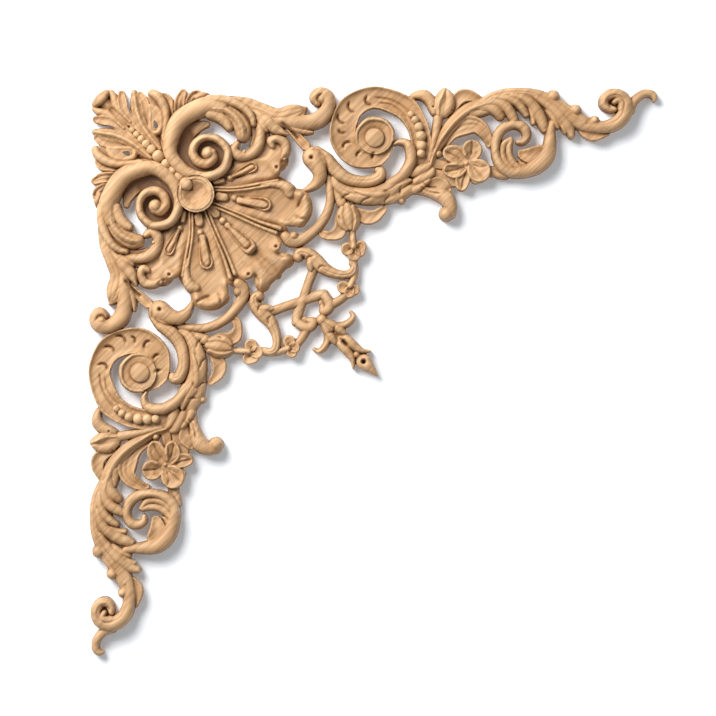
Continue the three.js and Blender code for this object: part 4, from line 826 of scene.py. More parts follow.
# %% Leaf scroll and struts
def struts():
    stroke("round", [
        [204.6, 166, 3.4, 11.5], [208, 162.4, 3.8, 12.5], [216, 163.8, 5.6, 13], [224, 171, 6.8, 13],
        [232.4, 178.8, 5.8, 12.5], [243, 183.8, 4.4, 12], [253, 185, 3.8, 12],
        [260, 182.6, 3.8, 11.5], [262, 177, 3, 11], [259, 173.6, 1.8, 10]], "leaf scroll")
    dome(206.4, 167, 5.2, 12.5)
    stroke("round", [[219, 166, 4, 13], [218.6, 175.6, 3.6, 12.5], [219, 180, 2, 11]])
    stroke("round", [
        [221.6, 180, 4.2, 9], [216.6, 193, 4.1, 9], [211.2, 209, 4.1, 9], [206, 226, 4, 9],
        [203.6, 232.6, 3.6, 9]])
    stroke("round", [
        [221, 206.2, 4, 9], [230.6, 204.8, 4.2, 10.5], [236.6, 211.6, 4.6, 11], [237, 218, 4.6, 11],
        [232.4, 221, 4.6, 11], [230.4, 217, 2.4, 10.5]])
    stroke("flat", [[231, 212, 4, 7], [235, 216, 4, 7]])
    dome(230, 230, 5.4, 12.5)


struts()
told("leaf scroll and struts")

# %% [markdown]
# The pendant is a husk with hooked leaves, long petals and a drop, all on the diagonal. A Mirror
# modifier would leave a seam down its middle. Here each stroke is laid on the lattice and on its
# mirror image, so both halves run into one another.

# %% Pendant
def pendant():
    stroke("flat", [[238, 238, 6, 7], [250, 250, 8, 7], [258, 258, 6, 7]])
    stroke("round", [
        [243, 235, 2.6, 11.5], [252, 235.2, 3.2, 12], [258.6, 231.4, 3, 11.5],
        [261.4, 226.4, 2.2, 10.5], [259, 222.2, 1.2, 9.5]])
    stroke("round", [
        [234, 231.8, 3.2, 12], [241, 235.6, 4.4, 13.5], [248, 240, 4.2, 13.5],
        [251.6, 242.8, 2.8, 12.5]])
    stroke("round", [
        [247.6, 244, 3, 11.5], [255.6, 250, 4.2, 12.5], [263, 256.8, 4, 12], [270, 260.8, 2.2, 11],
        [278, 261.2, 0.7, 9]])
    stroke("ridge", [[231.6, 231.6, 3.4, 11.5], [240, 240, 4, 13], [245.4, 245.4, 2, 12]])
    dome(264.6, 264.6, 3.5, 11)
    stroke("round", [[271.4, 271.4, 7.1, 12], [278, 278, 4.2, 11], [285.4, 285.4, 0.4, 8.5]])


pendant()
told("pendant")

# %% [markdown]
# Last come the lines that a small veiner cuts. On the side scroll they are commas pressed into
# the band and two long ribs that follow its outer bend. They could be carved into the strokes
# themselves, but a real veiner also works last, over forms that are already round.

# %% Scroll lines
COMMA_DEPTH, COMMA_WIDTH = 3, 1.25


def scroll_lines():
    for comma in (
            [[246.4, 24.6], [245.8, 29], [249, 33.4], [253.4, 34.6]],
            [[257.6, 12.6], [256.4, 17.6], [258.8, 22], [263.2, 23.8]],
            [[275.4, 6.4], [273.6, 11], [275.6, 15], [280.4, 16]],
            [[246.2, 39.6], [248.8, 43.6], [254, 43.8]],
            [[252.4, 59.4], [251.4, 56], [254.8, 53], [259.4, 53.6]],
            [[265.2, 68.4], [265.2, 64.4], [269.2, 61.6]]):
        groove(COMMA_DEPTH, COMMA_WIDTH, comma)
    groove(2.8, COMMA_WIDTH, [[280.6, 70.4], [280.4, 66], [283, 63]])
    groove(1.8, 1.1, [[283, 8.6], [298, 11], [312, 18.4], [323, 29.6], [330.6, 42], [334.6, 54]])
    groove(1.5, 1, [[287, 14], [299, 16], [308, 21.4], [315.4, 29]])


scroll_lines()
print("scroll lines: cuts noted", len(later_cuts))

# %% [markdown]
# The rim of the shell is folded where its scallops meet, and small drilled eyes sit in the folds.
# A wide, shallow hollow is cut round the largest pearl, so that it stands clear of the hub. The
# loops on the flutes are cut round on their inner side, which leaves a drop in the middle.

# %% Shell folds and loops
def shell_folds():
    groove(2.2, 1.6, [[213.4, 104.4], [208.6, 112], [206, 119]])
    groove(2, 1.5, [[214.4, 129.6], [208, 129.4], [203.4, 125.6]])
    groove(1.9, 4, [[160, 160], [168, 168], [178, 178], [190, 190]])
    groove(2, 1.5, [[199.6, 166], [191, 166.4], [183.6, 163]])
    groove(1.8, 1.4, [[196.6, 66], [191.4, 69.6], [190, 75]])
    groove(1.8, 1.4, [[197.6, 84.6], [192.4, 83.6], [189.4, 80.4]])
    dimple(185, 78, 4.4, 1.6)
    dimple(184.6, 157, 4.4, 1.6)
    dimple(96, 96, 3.6, 5.4)
    groove(2, 1.8, [[249.6, 249.6], [256, 256]])


def loop_lines():
    groove(2.8, 1, [[140, 86], [150, 80.4], [160, 75], [163.6, 78.6], [153, 84.6], [142.4, 88.6]])
    groove(3, 1, [
        [148, 107.6], [160, 109.2], [172, 111], [177.4, 115.4], [172.6, 119.4], [160, 117.4],
        [148, 114.4]])
    groove(3, 1, [[134.6, 138.4], [143, 148], [152.6, 158.6], [158, 158]])


shell_folds()
loop_lines()
print("shell folds and loops: cuts noted", len(later_cuts))

# %% [markdown]
# Short nicks part the tips of the leaves, and small round eyes are pressed where a curl ends.
# Cutting them into the outline would need far finer marks, so each is a single shallow cut, drawn
# where the real carving shows a dark line.

# %% Nicks and eyes
def nicks_and_eyes():
    groove(2, 1.1, [[220, 60.6], [228, 62], [233, 68], [235.4, 76], [235.6, 86]])
    dimple(219.6, 68.6, 5, 1.7)
    groove(1.8, 1.1, [[262, 103], [268, 105]])
    groove(1.4, 1, [[291, 101], [296.4, 103.4], [299.6, 108]])
    groove(2, 1.1, [[231, 5], [226.4, 8], [226.2, 12.6], [231, 15.6]])
    groove(3.2, 1.5, [[190, 33.6], [200, 42], [207, 50.4]])
    groove(2.2, 1.5, [[19, 17.4], [30, 27.4], [40, 37.4], [50, 47], [60, 56.4], [72, 66]])
    groove(2.4, 1.1, [[66, 45.4], [69.4, 49.6], [72, 55]])
    groove(2.4, 1, [[246.4, 126], [248.6, 131.4]])
    dimple(211.6, 167.4, 2.8, 1.6)
    groove(2, 1.1, [[243, 236], [242, 243], [245, 246], [246.4, 253]])
    dimple(271.6, 271.6, 5.5, 1.9)
    groove(2, 1.2, [[515.4, 10], [516, 14.4], [518.4, 18.6]])
    dimple(341, 17.8, 2.6, 1)
    dimple(360, 21, 2.2, 1)
    groove(1.8, 1, [[249, 110], [253.4, 106.4], [259, 104.6]])
    groove(2, 1, [[267, 116.6], [271.4, 111], [279, 108]])
    groove(2, 1, [[292, 116], [293.4, 110.4], [298, 106]])
    groove(1.8, 1, [[309, 106], [307.6, 101.4], [309.4, 97]])
    groove(2, 1, [[214, 171.4], [217, 167.4], [222, 166.4]])
    groove(1.8, 1, [[226, 180.6], [229, 176.6], [235, 177.4]])
    groove(1.8, 1, [[330, 93], [337, 97.6], [345, 98.4]])
    groove(1.8, 1, [[328, 97], [338, 103], [349, 104.4]])


nicks_and_eyes()
print("nicks and eyes: cuts noted", len(later_cuts))

# %% [markdown]
# Each petal is creased along its middle and has a fine vein on either side. The veins of leaves
# and petals run along the strokes already laid, at a share of their half width, so they bend
# with the leaf and need no marks of their own.

# %% Petal creases and veins
CREASE_DEPTH, CREASE_WIDTH = 1.6, 1
FINE = 0.9  # width of most veins, in steps
LEAF_VEINS = {  # stroke: places of its veins and their depth
    "acanthus back": ([-0.45, 0.05, 0.5], 0.7), "big leaf": ([-0.5, 0.5], 0.8),
    "arch leaf": ([-0.5, 0.5], 0.7), "inner leaf": ([-0.5, 0, 0.5], 0.7), "crescent": ([0], 0.7),
    "top band": ([-0.1], 0.7), "end scroll": ([-0.3], 0.7), "long stem": ([-0.1], 0.6),
    "leaf scroll": ([0.1], 0.7), "hood back": ([0.1], 0.9), "lobe two": ([-0.35, 0.35], 0.9),
    "lobe three": ([-0.35, 0.35], 0.9)}
PETAL_VEINS = {
    "petal one": [-0.5, 0.5], "petal two": [-0.55, 0.45], "petal three": [-0.4, 0.4],
    "petal four": [-0.5, 0.5], "petal five": [-0.5, 0.5]}


def petal_creases():
    for crease in (
            [[379.8, 50.6], [379.8, 58], [378.6, 66]], [[394.6, 77], [388, 77.6], [380.6, 75]],
            [[391.6, 89.6], [387, 84.4], [380.6, 77]], [[369, 101], [370.6, 93], [373, 83]],
            [[352, 82.6], [359, 81.6], [368, 79]], [[352.4, 62], [360, 65.4], [369, 70.6]]):
        groove(CREASE_DEPTH, CREASE_WIDTH, crease)


petal_creases()
for name, (shares, depth) in LEAF_VEINS.items():
    veins(name, shares, depth, FINE)
for name, shares in PETAL_VEINS.items():
    veins(name, shares, 0.8, 0.8)
veins("finger two", [-0.5, 0.5], FINE, FINE)
make_cuts()
print("cuts made:", len(later_cuts), "lowest wood", round(float(height[cover > 0].min()), 2))

# %% [markdown]
# ## From lattice to wood
#
# The mesh keeps every lattice square that has wood at its four corners. The squares' outer corners
# are then moved onto the sawn line, where the cover is nil, so the outline runs smooth instead of
# in stairs. A Displace modifier on a grid could raise the relief too, but it can't saw openings.

# %% Squares of wood
PINCH_PASSES = 4  # times that squares meeting only at a corner are looked for
FLATTEST = 0.1  # least squared slope of the cover that a corner is moved along
wood = cover > -0.5 * SPACING


def squares_of(places):
    return places[:-1, :-1] & places[1:, :-1] & places[:-1, 1:] & places[1:, 1:]


def corners_of(squares):
    """Which of the four squares round each place are kept."""
    padded = np.pad(squares, 1)
    return padded[:-1, :-1], padded[:-1, 1:], padded[1:, :-1], padded[1:, 1:]


def connected(squares):
    """The squares joined edge to edge with the shell, without stray islands."""
    labels = np.zeros(squares.shape, bool)
    start = int((HUB_PLACE + MARGIN) / SPACING)
    labels[start, start] = True
    while True:
        grown = labels.copy()
        for shift in (1, -1):
            grown |= np.roll(labels, shift, 0) | np.roll(labels, shift, 1)
        grown &= squares
        if (grown == labels).all():
            return labels
        labels = grown


squares = squares_of(wood)
for _ in range(PINCH_PASSES):
    nw, ne, sw, se = corners_of(squares)
    pinched = (nw & se & ~ne & ~sw) | (ne & sw & ~nw & ~se)
    squares &= ~(pinched[1:, 1:] & nw[1:, 1:])
    squares &= ~(pinched[1:, :-1] & ne[1:, :-1])
squares = connected(squares)
nw, ne, sw, se = corners_of(squares)
touching = nw.astype(int) + ne + sw + se
used = touching > 0
edge = used & (touching < 4)
slope_b, slope_a = np.gradient(cover, SPACING)
steep = np.maximum(slope_a ** 2 + slope_b ** 2, FLATTEST)
shift_a = np.where(edge, np.clip(-cover * slope_a / steep, -SPACING, SPACING), 0)
shift_b = np.where(edge, np.clip(-cover * slope_b / steep, -SPACING, SPACING), 0)
print("squares", int(squares.sum()), "edge places", int(edge.sum()))

# %% [markdown]
# Each kept place becomes a vertex. The edges that only one square uses chain up into closed
# lines: the longest is the outline of the whole board, and the others are its openings.

# %% Sawn lines
LEAST_HEIGHT = 2.5  # levels of wood left at the thinnest tip
EVENING_PASSES = 2  # times that each sawn line is evened out
index = np.full(used.shape, -1)
index[used] = np.arange(int(used.sum()))
places = np.column_stack([(across + shift_a)[used], (down + shift_b)[used]])
tops = np.maximum(height[used], LEAST_HEIGHT)
total = len(places)


def quads_of(squares):
    rows, columns = np.nonzero(squares)
    return np.column_stack([index[rows, columns], index[rows, columns + 1],
                            index[rows + 1, columns + 1], index[rows + 1, columns]])


def lines_round(quads):
    """The closed lines round the wood and its openings, the longest first."""
    pairs = np.vstack([quads[:, [0, 1]], quads[:, [1, 2]], quads[:, [2, 3]], quads[:, [3, 0]]])
    keys = pairs[:, 0] * total + pairs[:, 1]
    back_keys = pairs[:, 1] * total + pairs[:, 0]
    rim_pairs = pairs[~np.isin(keys, back_keys)]
    following = {int(p): int(q) for p, q in rim_pairs}
    assert len(following) == len(rim_pairs)
    loops = []
    while following:
        start, here = following.popitem()
        loop = [start]
        while here != start:
            loop.append(here)
            here = following.pop(here)
        loops.append(loop)
    return sorted(loops, key=len, reverse=True)


quads = quads_of(squares)
loops = lines_round(quads)
for loop in loops:
    for _ in range(EVENING_PASSES):
        line = places[loop]
        places[loop] = 0.5 * line + 0.25 * (np.roll(line, 1, axis=0) + np.roll(line, -1, axis=0))
print("closed lines", len(loops), "the outline has", len(loops[0]), "points")

# %% [markdown]
# Upright sides drop from the sawn lines to the flat back, which is one polygon with its openings.
# The scale of the drawing is taken from the CAD box, so the visual piece fills that box and stays
# a hair inside it on each side. A Solidify modifier could make the sides as well, but its back
# would copy the relief.

# %% Closed mesh
CLEARANCE = 0.00002  # metres that the wood stays inside the CAD box on each side
low_places, high_places = places.min(axis=0), places.max(axis=0)
step_a = (cad_high[0] - cad_low[0] - 2 * CLEARANCE) / (high_places[0] - low_places[0])
step_b = (cad_high[2] - cad_low[2] - 2 * CLEARANCE) / (high_places[1] - low_places[1])
level = (-cad_low[1] - CLEARANCE) / tops.max()


def to_frame(spots, levels):
    """Places in the drawing, with their heights, as points of the frame in metres."""
    return np.column_stack([cad_low[0] + CLEARANCE + (spots[:, 0] - low_places[0]) * step_a,
                            -levels * level,
                            cad_high[2] - CLEARANCE - (spots[:, 1] - low_places[1]) * step_b])


def shown(name, mesh):
    """A new object of the scene with the given mesh."""
    thing = bpy.data.objects.new(name, mesh)
    bpy.context.collection.objects.link(thing)
    return thing


rim = [place for loop in loops for place in loop]
below = {place: total + i for i, place in enumerate(rim)}
sides = [(below[loop[i - 1]], below[loop[i]], loop[i], loop[i - 1])
         for loop in loops for i in range(len(loop))]
flat_loops = [[Vector((places[place][0], places[place][1], 0)) for place in loop] for loop in loops]
back = [[total + corner for corner in corners] for corners in tessellate_polygon(flat_loops)]
points = np.vstack([to_frame(places, tops), to_frame(places[rim], np.zeros(len(rim)))])
mesh = bpy.data.meshes.new("relief")
mesh.from_pydata(points.tolist(), [], quads.tolist() + sides + back)
mesh.validate()
relief = shown("relief", mesh)
print("points", len(points), "faces", len(mesh.polygons))

# %% [markdown]
# The lattice is far finer than the flat parts of the wood need. A Decimate modifier thins the
# mesh and keeps the points where the surface bends, which a coarser lattice couldn't do. The
# faces are then turned to face out.

# %% Thin the mesh
FACES_WANTED = 185000


def applied(piece):
    """Works the piece's modifiers into its mesh."""
    worked = piece.evaluated_get(bpy.context.evaluated_depsgraph_get())
    result = bpy.data.meshes.new_from_object(worked)
    piece.modifiers.clear()
    old = piece.data
    piece.data = result
    bpy.data.meshes.remove(old)


def held_to_wall(mesh):
    """Puts every point that the thinning left behind the wall back on it."""
    spots = np.zeros(3 * len(mesh.vertices))
    mesh.vertices.foreach_get("co", spots)
    spots[1::3] = np.minimum(spots[1::3], 0)
    mesh.vertices.foreach_set("co", spots)


triangles = sum(len(polygon.vertices) - 2 for polygon in relief.data.polygons)
thin = relief.modifiers.new("thin", "DECIMATE")
thin.ratio = FACES_WANTED / triangles
applied(relief)
held_to_wall(relief.data)
work = bmesh.new()
work.from_mesh(relief.data)
bmesh.ops.recalc_face_normals(work, faces=work.faces)
open_edges = sum(1 for e in work.edges if not e.is_manifold)
work.to_mesh(relief.data)
print("triangles", triangles, "->", len(work.faces), "open edges", open_edges)
print("volume in cubic metres", work.calc_volume())
work.free()

# %% [markdown]
# ## Pearls
#
# Two rows of pearls run along the carving: one down the diagonal from the corner leaves to the
# hub, one on the side scroll. A carver turns them with a beading tool, so each looks like a ball
# sunk in the wood. A node tree sets a ball on each point of a row, at the size that the point
# holds, so a pearl is moved or resized by its three numbers alone.

# %% Pearl tree
PEARL_RINGS = 10  # rings of faces on each ball, with twice as many segments


def pearl_tree():
    tree = bpy.data.node_groups.new("pearls", "GeometryNodeTree")
    socket = tree.interface.new_socket
    socket("Geometry", in_out="INPUT", socket_type="NodeSocketGeometry")
    socket("Roundness", in_out="INPUT", socket_type="NodeSocketInt").default_value = PEARL_RINGS
    socket("Wood", in_out="INPUT", socket_type="NodeSocketMaterial")
    socket("Geometry", in_out="OUTPUT", socket_type="NodeSocketGeometry")
    node = tree.nodes.new
    start, end = node("NodeGroupInput"), node("NodeGroupOutput")
    ball, rows = node("GeometryNodeMeshUVSphere"), node("ShaderNodeMath")
    size, spread = node("GeometryNodeInputNamedAttribute"), node("GeometryNodeInstanceOnPoints")
    real, paint = node("GeometryNodeRealizeInstances"), node("GeometryNodeSetMaterial")
    size.data_type = "FLOAT"
    size.inputs["Name"].default_value = "pearl_radius"
    rows.operation = "MULTIPLY"
    rows.inputs[1].default_value = 2
    ball.inputs["Radius"].default_value = 1
    link = tree.links.new
    link(start.outputs["Roundness"], ball.inputs["Rings"])
    link(start.outputs["Roundness"], rows.inputs[0])
    link(rows.outputs[0], ball.inputs["Segments"])
    link(start.outputs["Geometry"], spread.inputs["Points"])
    link(ball.outputs["Mesh"], spread.inputs["Instance"])
    link(size.outputs["Attribute"], spread.inputs["Scale"])
    link(spread.outputs["Instances"], real.inputs["Geometry"])
    link(real.outputs["Geometry"], paint.inputs["Geometry"])
    link(start.outputs["Wood"], paint.inputs["Material"])
    link(paint.outputs["Geometry"], end.inputs["Geometry"])
    return tree


pearl_nodes = pearl_tree()
print("pearl tree nodes", len(pearl_nodes.nodes))

# %% [markdown]
# The pearls swell and thin along each row, as a carver fits them between the leaves, so each has
# its own place, radius and top. Even steps along a curve would be simpler, but would leave gaps.

# %% Pearl rows
DIAGONAL_PEARLS = [  # place along both arms, radius and top
    [40.6, 2.8, 12.8], [45.3, 3.2, 13.2], [50.1, 3.6, 13.8], [54.9, 4, 14.4], [60.3, 4.6, 15.2],
    [67, 5.8, 16.4], [75, 4.8, 17], [81.4, 4.2, 17.2], [87.8, 4.6, 18.4], [95, 6.4, 21]]
SCROLL_PEARLS = [  # place, radius and top
    [318.6, 25.4, 3, 15.5], [323, 31, 3.6, 16], [326.6, 38, 4.3, 16.5],
    [328.6, 47, 4.9, 16.5], [329, 56.2, 4.6, 16], [328.8, 64.4, 3.8, 15.5]]
PEARL_FULLNESS = 0.4  # added to each drawn radius, in steps
pearls = [[at, at, radius, top] for at, radius, top in DIAGONAL_PEARLS]
pearls += [[a, b, radius, top] for a, b, radius, top in SCROLL_PEARLS]
pearls += [[b, a, radius, top] for a, b, radius, top in SCROLL_PEARLS]
pearls = np.array(pearls)
radii = (pearls[:, 2] + PEARL_FULLNESS) * STEP
seats = to_frame(pearls[:, :2], pearls[:, 3] - radii / level)
pearl_mesh = bpy.data.meshes.new("pearls")
pearl_mesh.from_pydata(seats.tolist(), [], [])
pearl_mesh.attributes.new("pearl_radius", "FLOAT", "POINT").data.foreach_set("value", radii)
pearl_rows = shown("pearls", pearl_mesh)
print("pearls", len(pearls), "largest radius mm", round(radii.max() * 1000, 2))

# %% [markdown]
# ## The wood
#
# The piece is bare sanded hardwood of a light tan. Three things colour it: the straight grain,
# which runs aslant across the whole board; painted shade, a darker tone in the hollows where little
# light reaches; and a painted highlight, a paler tone on the crests where the light falls. Each is a
# node group, and the material mixes them. Noise that is stretched along one line gives the grain,
# and it is carried by the piece's own coordinates, so no picture of wood is needed.

# %% Node helpers
def new_group(name, sockets):
    """An empty node group with the given inputs and outputs."""
    group = bpy.data.node_groups.new(name, "ShaderNodeTree")
    for label, way, kind, value in sockets:
        socket = group.interface.new_socket(label, in_out=way, socket_type="NodeSocket" + kind)
        if value is not None:
            socket.default_value = value
    return group, group.nodes.new("NodeGroupInput"), group.nodes.new("NodeGroupOutput")


def wired(tree, kind, values=(), **settings):
    """Adds a node, with its settings and the values or links of its inputs."""
    node = tree.nodes.new(kind)
    for key, value in settings.items():
        setattr(node, key, value)
    for socket, value in values:
        if isinstance(value, bpy.types.NodeSocket):
            tree.links.new(value, node.inputs[socket])
        else:
            node.inputs[socket].default_value = value
    return node


def reckoned(tree, sign, first, second):
    """Two numbers brought together, as by MULTIPLY or DIVIDE."""
    return wired(tree, "ShaderNodeMath", [(0, first), (1, second)], operation=sign).outputs[0]


def scaled(tree, vector, factors):
    """A vector stretched by three factors."""
    return wired(tree, "ShaderNodeVectorMath", [(0, vector), (1, factors)],
                 operation="MULTIPLY").outputs[0]


def ranged(tree, value, low, high, least=0.0, most=1.0):
    """A value from low to high, brought to run from least to most."""
    limits = [("From Min", low), ("From Max", high), ("To Min", least), ("To Max", most)]
    return wired(tree, "ShaderNodeMapRange", [("Value", value)] + limits).outputs["Result"]


def mixed(tree, share, first, second):
    """A colour between two others."""
    return wired(tree, "ShaderNodeMix", [("Factor", share), (6, first), (7, second)],
                 data_type="RGBA").outputs[2]


print("node helpers ready")

# %% [markdown]
# Grain is drawn out along the board, so its noise is squeezed along one line and stretched along
# the others. Three layers are read from it: the saw and grain lines, a broad change of tone, and
# fine fibres for the sheen.

# %% Grain group
GRAIN_ANGLE = 0.785  # radians, an eighth of a turn
GRAIN_PITCH = 0.0024  # metres between two grain lines
LINE_STRETCH = (0.035, 0.5, 1.0)
FIGURE_STRETCH = (0.02, 0.05, 0.16)
FIBRE_STRETCH = (0.12, 2.0, 4.0)


def noise(tree, vector, detail, **more):
    values = [("Vector", vector), ("Scale", 1.0), ("Detail", detail)]
    values += [(key.capitalize(), value) for key, value in more.items()]
    return wired(tree, "ShaderNodeTexNoise", values).outputs["Fac"]


def grain_group():
    group, start, end = new_group("straight grain", [
        ("Vector", "INPUT", "Vector", None), ("Angle", "INPUT", "Float", GRAIN_ANGLE),
        ("Pitch", "INPUT", "Float", GRAIN_PITCH), ("Grain", "OUTPUT", "Float", None),
        ("Figure", "OUTPUT", "Float", None), ("Fibre", "OUTPUT", "Float", None)])
    turn = wired(group, "ShaderNodeVectorRotate", [
        ("Vector", start.outputs["Vector"]), ("Angle", start.outputs["Angle"]),
        ("Axis", (0, 1, 0))], rotation_type="AXIS_ANGLE")
    scale = reckoned(group, "DIVIDE", 1.0, start.outputs["Pitch"])
    spread = wired(group, "ShaderNodeVectorMath", [(0, turn.outputs[0]), ("Scale", scale)],
                   operation="SCALE").outputs[0]
    lines = noise(group, scaled(group, spread, LINE_STRETCH), 3.0, roughness=0.6)
    figure = noise(group, scaled(group, spread, FIGURE_STRETCH), 2.0)
    fibre = noise(group, scaled(group, spread, FIBRE_STRETCH), 2.0)
    for label, value in (("Grain", lines), ("Figure", figure), ("Fibre", fibre)):
        group.links.new(value, end.inputs[label])
    return group


grain = grain_group()
print("grain group nodes", len(grain.nodes))

# %% [markdown]
# Hollows and crests come from the form itself: each point is compared with the mean height round
# it, and the difference is kept on the mesh as an attribute. This group turns it into two masks,
# for painted shade in the hollows and a painted highlight on the crests, so the tone follows the
# carving. Shading by ambient occlusion could look alike, but it changes with the view and the
# other things in the scene.

# %% Painted shade and highlight group
TONE_DEPTH = 3.0  # levels from the mean height that count as one
# painted shade: the hollow mask darkens the wood below the mean height
PAINTED_SHADE_RANGE = (-0.08, -0.8)  # depths below the mean where the mask starts and is full
# painted highlight: the crest mask lightens the wood above the mean height
PAINTED_HIGHLIGHT_RANGE = (0.1, 0.9)


def painted_shade_and_highlight_group():
    group, start, end = new_group("hollows and crests", [
        ("Relief", "INPUT", "Float", 0.0), ("Depth", "INPUT", "Float", TONE_DEPTH),
        ("Hollow", "OUTPUT", "Float", None), ("Crest", "OUTPUT", "Float", None)])
    share = reckoned(group, "DIVIDE", start.outputs["Relief"], start.outputs["Depth"])
    # the Hollow mask gives the painted shade, and the Crest mask gives the painted highlight
    group.links.new(ranged(group, share, *PAINTED_SHADE_RANGE), end.inputs["Hollow"])
    group.links.new(ranged(group, share, *PAINTED_HIGHLIGHT_RANGE), end.inputs["Crest"])
    return group


hollows = painted_shade_and_highlight_group()
print("hollow group nodes", len(hollows.nodes))

# %% [markdown]
# The material starts from two tones of the bare wood, lightens them with a painted highlight on the
# crests and darkens them with painted shade in the hollows, then with the grain lines. The back was
# never carved, so faces that look at the wall get no painted shade. Sanded wood is rather dull, and
# its fibres make the sheen a little uneven.

# %% Wood material
TAN = (0.43, 0.228, 0.093, 1)
# paler tone of the grain figure, and the colour of the painted highlight on the crests
GRAIN_AND_HIGHLIGHT_CREAM = (0.70, 0.46, 0.25, 1)
# colour of the grain lines, and of the painted shade in the hollows
SHADE_AND_GRAIN_BROWN = (0.11, 0.042, 0.010, 1)
# shares of the painted highlight, of the painted shade and of the grain lines
PAINTED_HIGHLIGHT_SHARE, PAINTED_SHADE_SHARE, LINE_SHARE = 0.65, 0.85, 0.4
FIGURE_RANGE, FIGURE_SHARE = (0.3, 0.7), 0.5
LINE_RANGE = (0.42, 0.62)  # values of the noise where a grain line starts and is darkest
ROUGHNESS = (0.5, 0.7)
BUMP_STRENGTH, BUMP_HEIGHT = 0.25, 0.0003  # how strongly and how many metres fibres stand up
TO_WALL = 0.5  # a face whose normal points further than this to the wall belongs to the back


def wood_material():
    material = bpy.data.materials.new("sanded hardwood")
    material.use_nodes = True
    tree = material.node_tree
    tree.nodes.clear()
    spot = wired(tree, "ShaderNodeTexCoord")
    lines = wired(tree, "ShaderNodeGroup", [("Vector", spot.outputs["Object"])], node_tree=grain)
    form = wired(tree, "ShaderNodeAttribute", attribute_name="relief_offset")
    masks = wired(tree, "ShaderNodeGroup", [("Relief", form.outputs["Fac"])], node_tree=hollows)
    figure = ranged(tree, lines.outputs["Figure"], *FIGURE_RANGE, 0.0, FIGURE_SHARE)
    base = mixed(tree, figure, TAN, GRAIN_AND_HIGHLIGHT_CREAM)
    # painted highlight: the crests are lightened towards cream
    painted_highlight = reckoned(tree, "MULTIPLY", masks.outputs["Crest"], PAINTED_HIGHLIGHT_SHARE)
    pale = mixed(tree, painted_highlight, base, GRAIN_AND_HIGHLIGHT_CREAM)
    side = wired(tree, "ShaderNodeNewGeometry")
    facing = wired(tree, "ShaderNodeSeparateXYZ", [("Vector", side.outputs["True Normal"])])
    front = reckoned(tree, "LESS_THAN", facing.outputs["Y"], TO_WALL)
    # painted shade: the hollows, but not the back, are darkened towards brown
    seen = reckoned(tree, "MULTIPLY", masks.outputs["Hollow"], front)
    deep = mixed(tree, reckoned(tree, "MULTIPLY", seen, PAINTED_SHADE_SHARE), pale, SHADE_AND_GRAIN_BROWN)
    line = ranged(tree, lines.outputs["Grain"], *LINE_RANGE, 0.0, LINE_SHARE)
    lined = mixed(tree, line, deep, SHADE_AND_GRAIN_BROWN)
    rough = ranged(tree, lines.outputs["Fibre"], 0.0, 1.0, *ROUGHNESS)
    bump = wired(tree, "ShaderNodeBump", [
        ("Height", lines.outputs["Fibre"]), ("Strength", BUMP_STRENGTH), ("Distance", BUMP_HEIGHT)])
    shade = wired(tree, "ShaderNodeBsdfPrincipled", [
        ("Base Color", lined), ("Roughness", rough), ("Normal", bump.outputs["Normal"])])
    wired(tree, "ShaderNodeOutputMaterial", [("Surface", shade.outputs["BSDF"])])
    return material


wood_look = wood_material()
print("wood nodes", len(wood_look.node_tree.nodes))

# %% [markdown]
# The pearls are now made real and joined to the relief. On the real piece they are the same wood,
# so they share its one mesh and its material. As an object of their own they would look the same,
# but the part has only one solid, and one piece should stand for it.

# %% Join the piece
grow = pearl_rows.modifiers.new("pearls", "NODES")
grow.node_group = pearl_nodes
sockets = {item.name: item.identifier for item in pearl_nodes.interface.items_tree
           if item.in_out == "INPUT"}
grow[sockets["Roundness"]] = PEARL_RINGS
grow[sockets["Wood"]] = wood_look
applied(pearl_rows)


def joined(first, second):
    """Adds the second piece's faces to the first and removes the second."""
    work = bmesh.new()
    work.from_mesh(first.data)
    work.from_mesh(second.data)
    work.to_mesh(first.data)
    work.free()
    bpy.data.objects.remove(second)


joined(relief, pearl_rows)
applique = relief
applique.name = "applique"
applique.data.materials.clear()
applique.data.materials.append(wood_look)
applique.data.polygons.foreach_set("material_index", np.zeros(len(applique.data.polygons), int))
print("applique faces", len(applique.data.polygons))

# %% [markdown]
# Each point now gets its height above the mean round it, which the group for painted shade and
# highlight reads. The feet of the sawn sides count as hollow and so get painted shade, because
# little light reaches them. Then the piece takes the place of its CAD solid.

# %% Tone of the carving
WALL_BAND = 0.0005  # metres from the wall within which a point is the foot of a sawn side
# painted shade: the feet of the sawn sides are darkened as hollows are
PAINTED_FOOT_SHADE = -2.0  # how hollow the foot of a side counts, in levels, so the sides go darker
MEAN_REACH = 3.2  # steps round a point over which the mean height is taken
CREASE_ANGLE = math.radians(50)
spots = np.zeros(len(applique.data.vertices) * 3)
applique.data.vertices.foreach_get("co", spots)
spots = spots.reshape(-1, 3)
solid = (height > 0).astype(float)
mean = blurred(np.maximum(height, 0), MEAN_REACH) / np.maximum(blurred(solid, MEAN_REACH), 0.05)


def lattice_line(distances):
    """The lattice row or column nearest to each distance along an arm, in steps."""
    return np.clip(((distances + MARGIN) / SPACING).round().astype(int), 0, count - 1)


columns = lattice_line(spots[:, 0] / STEP + HUB_PLACE)
rows = lattice_line(HUB_PLACE - spots[:, 2] / STEP)
on_wall = -spots[:, 1] < WALL_BAND
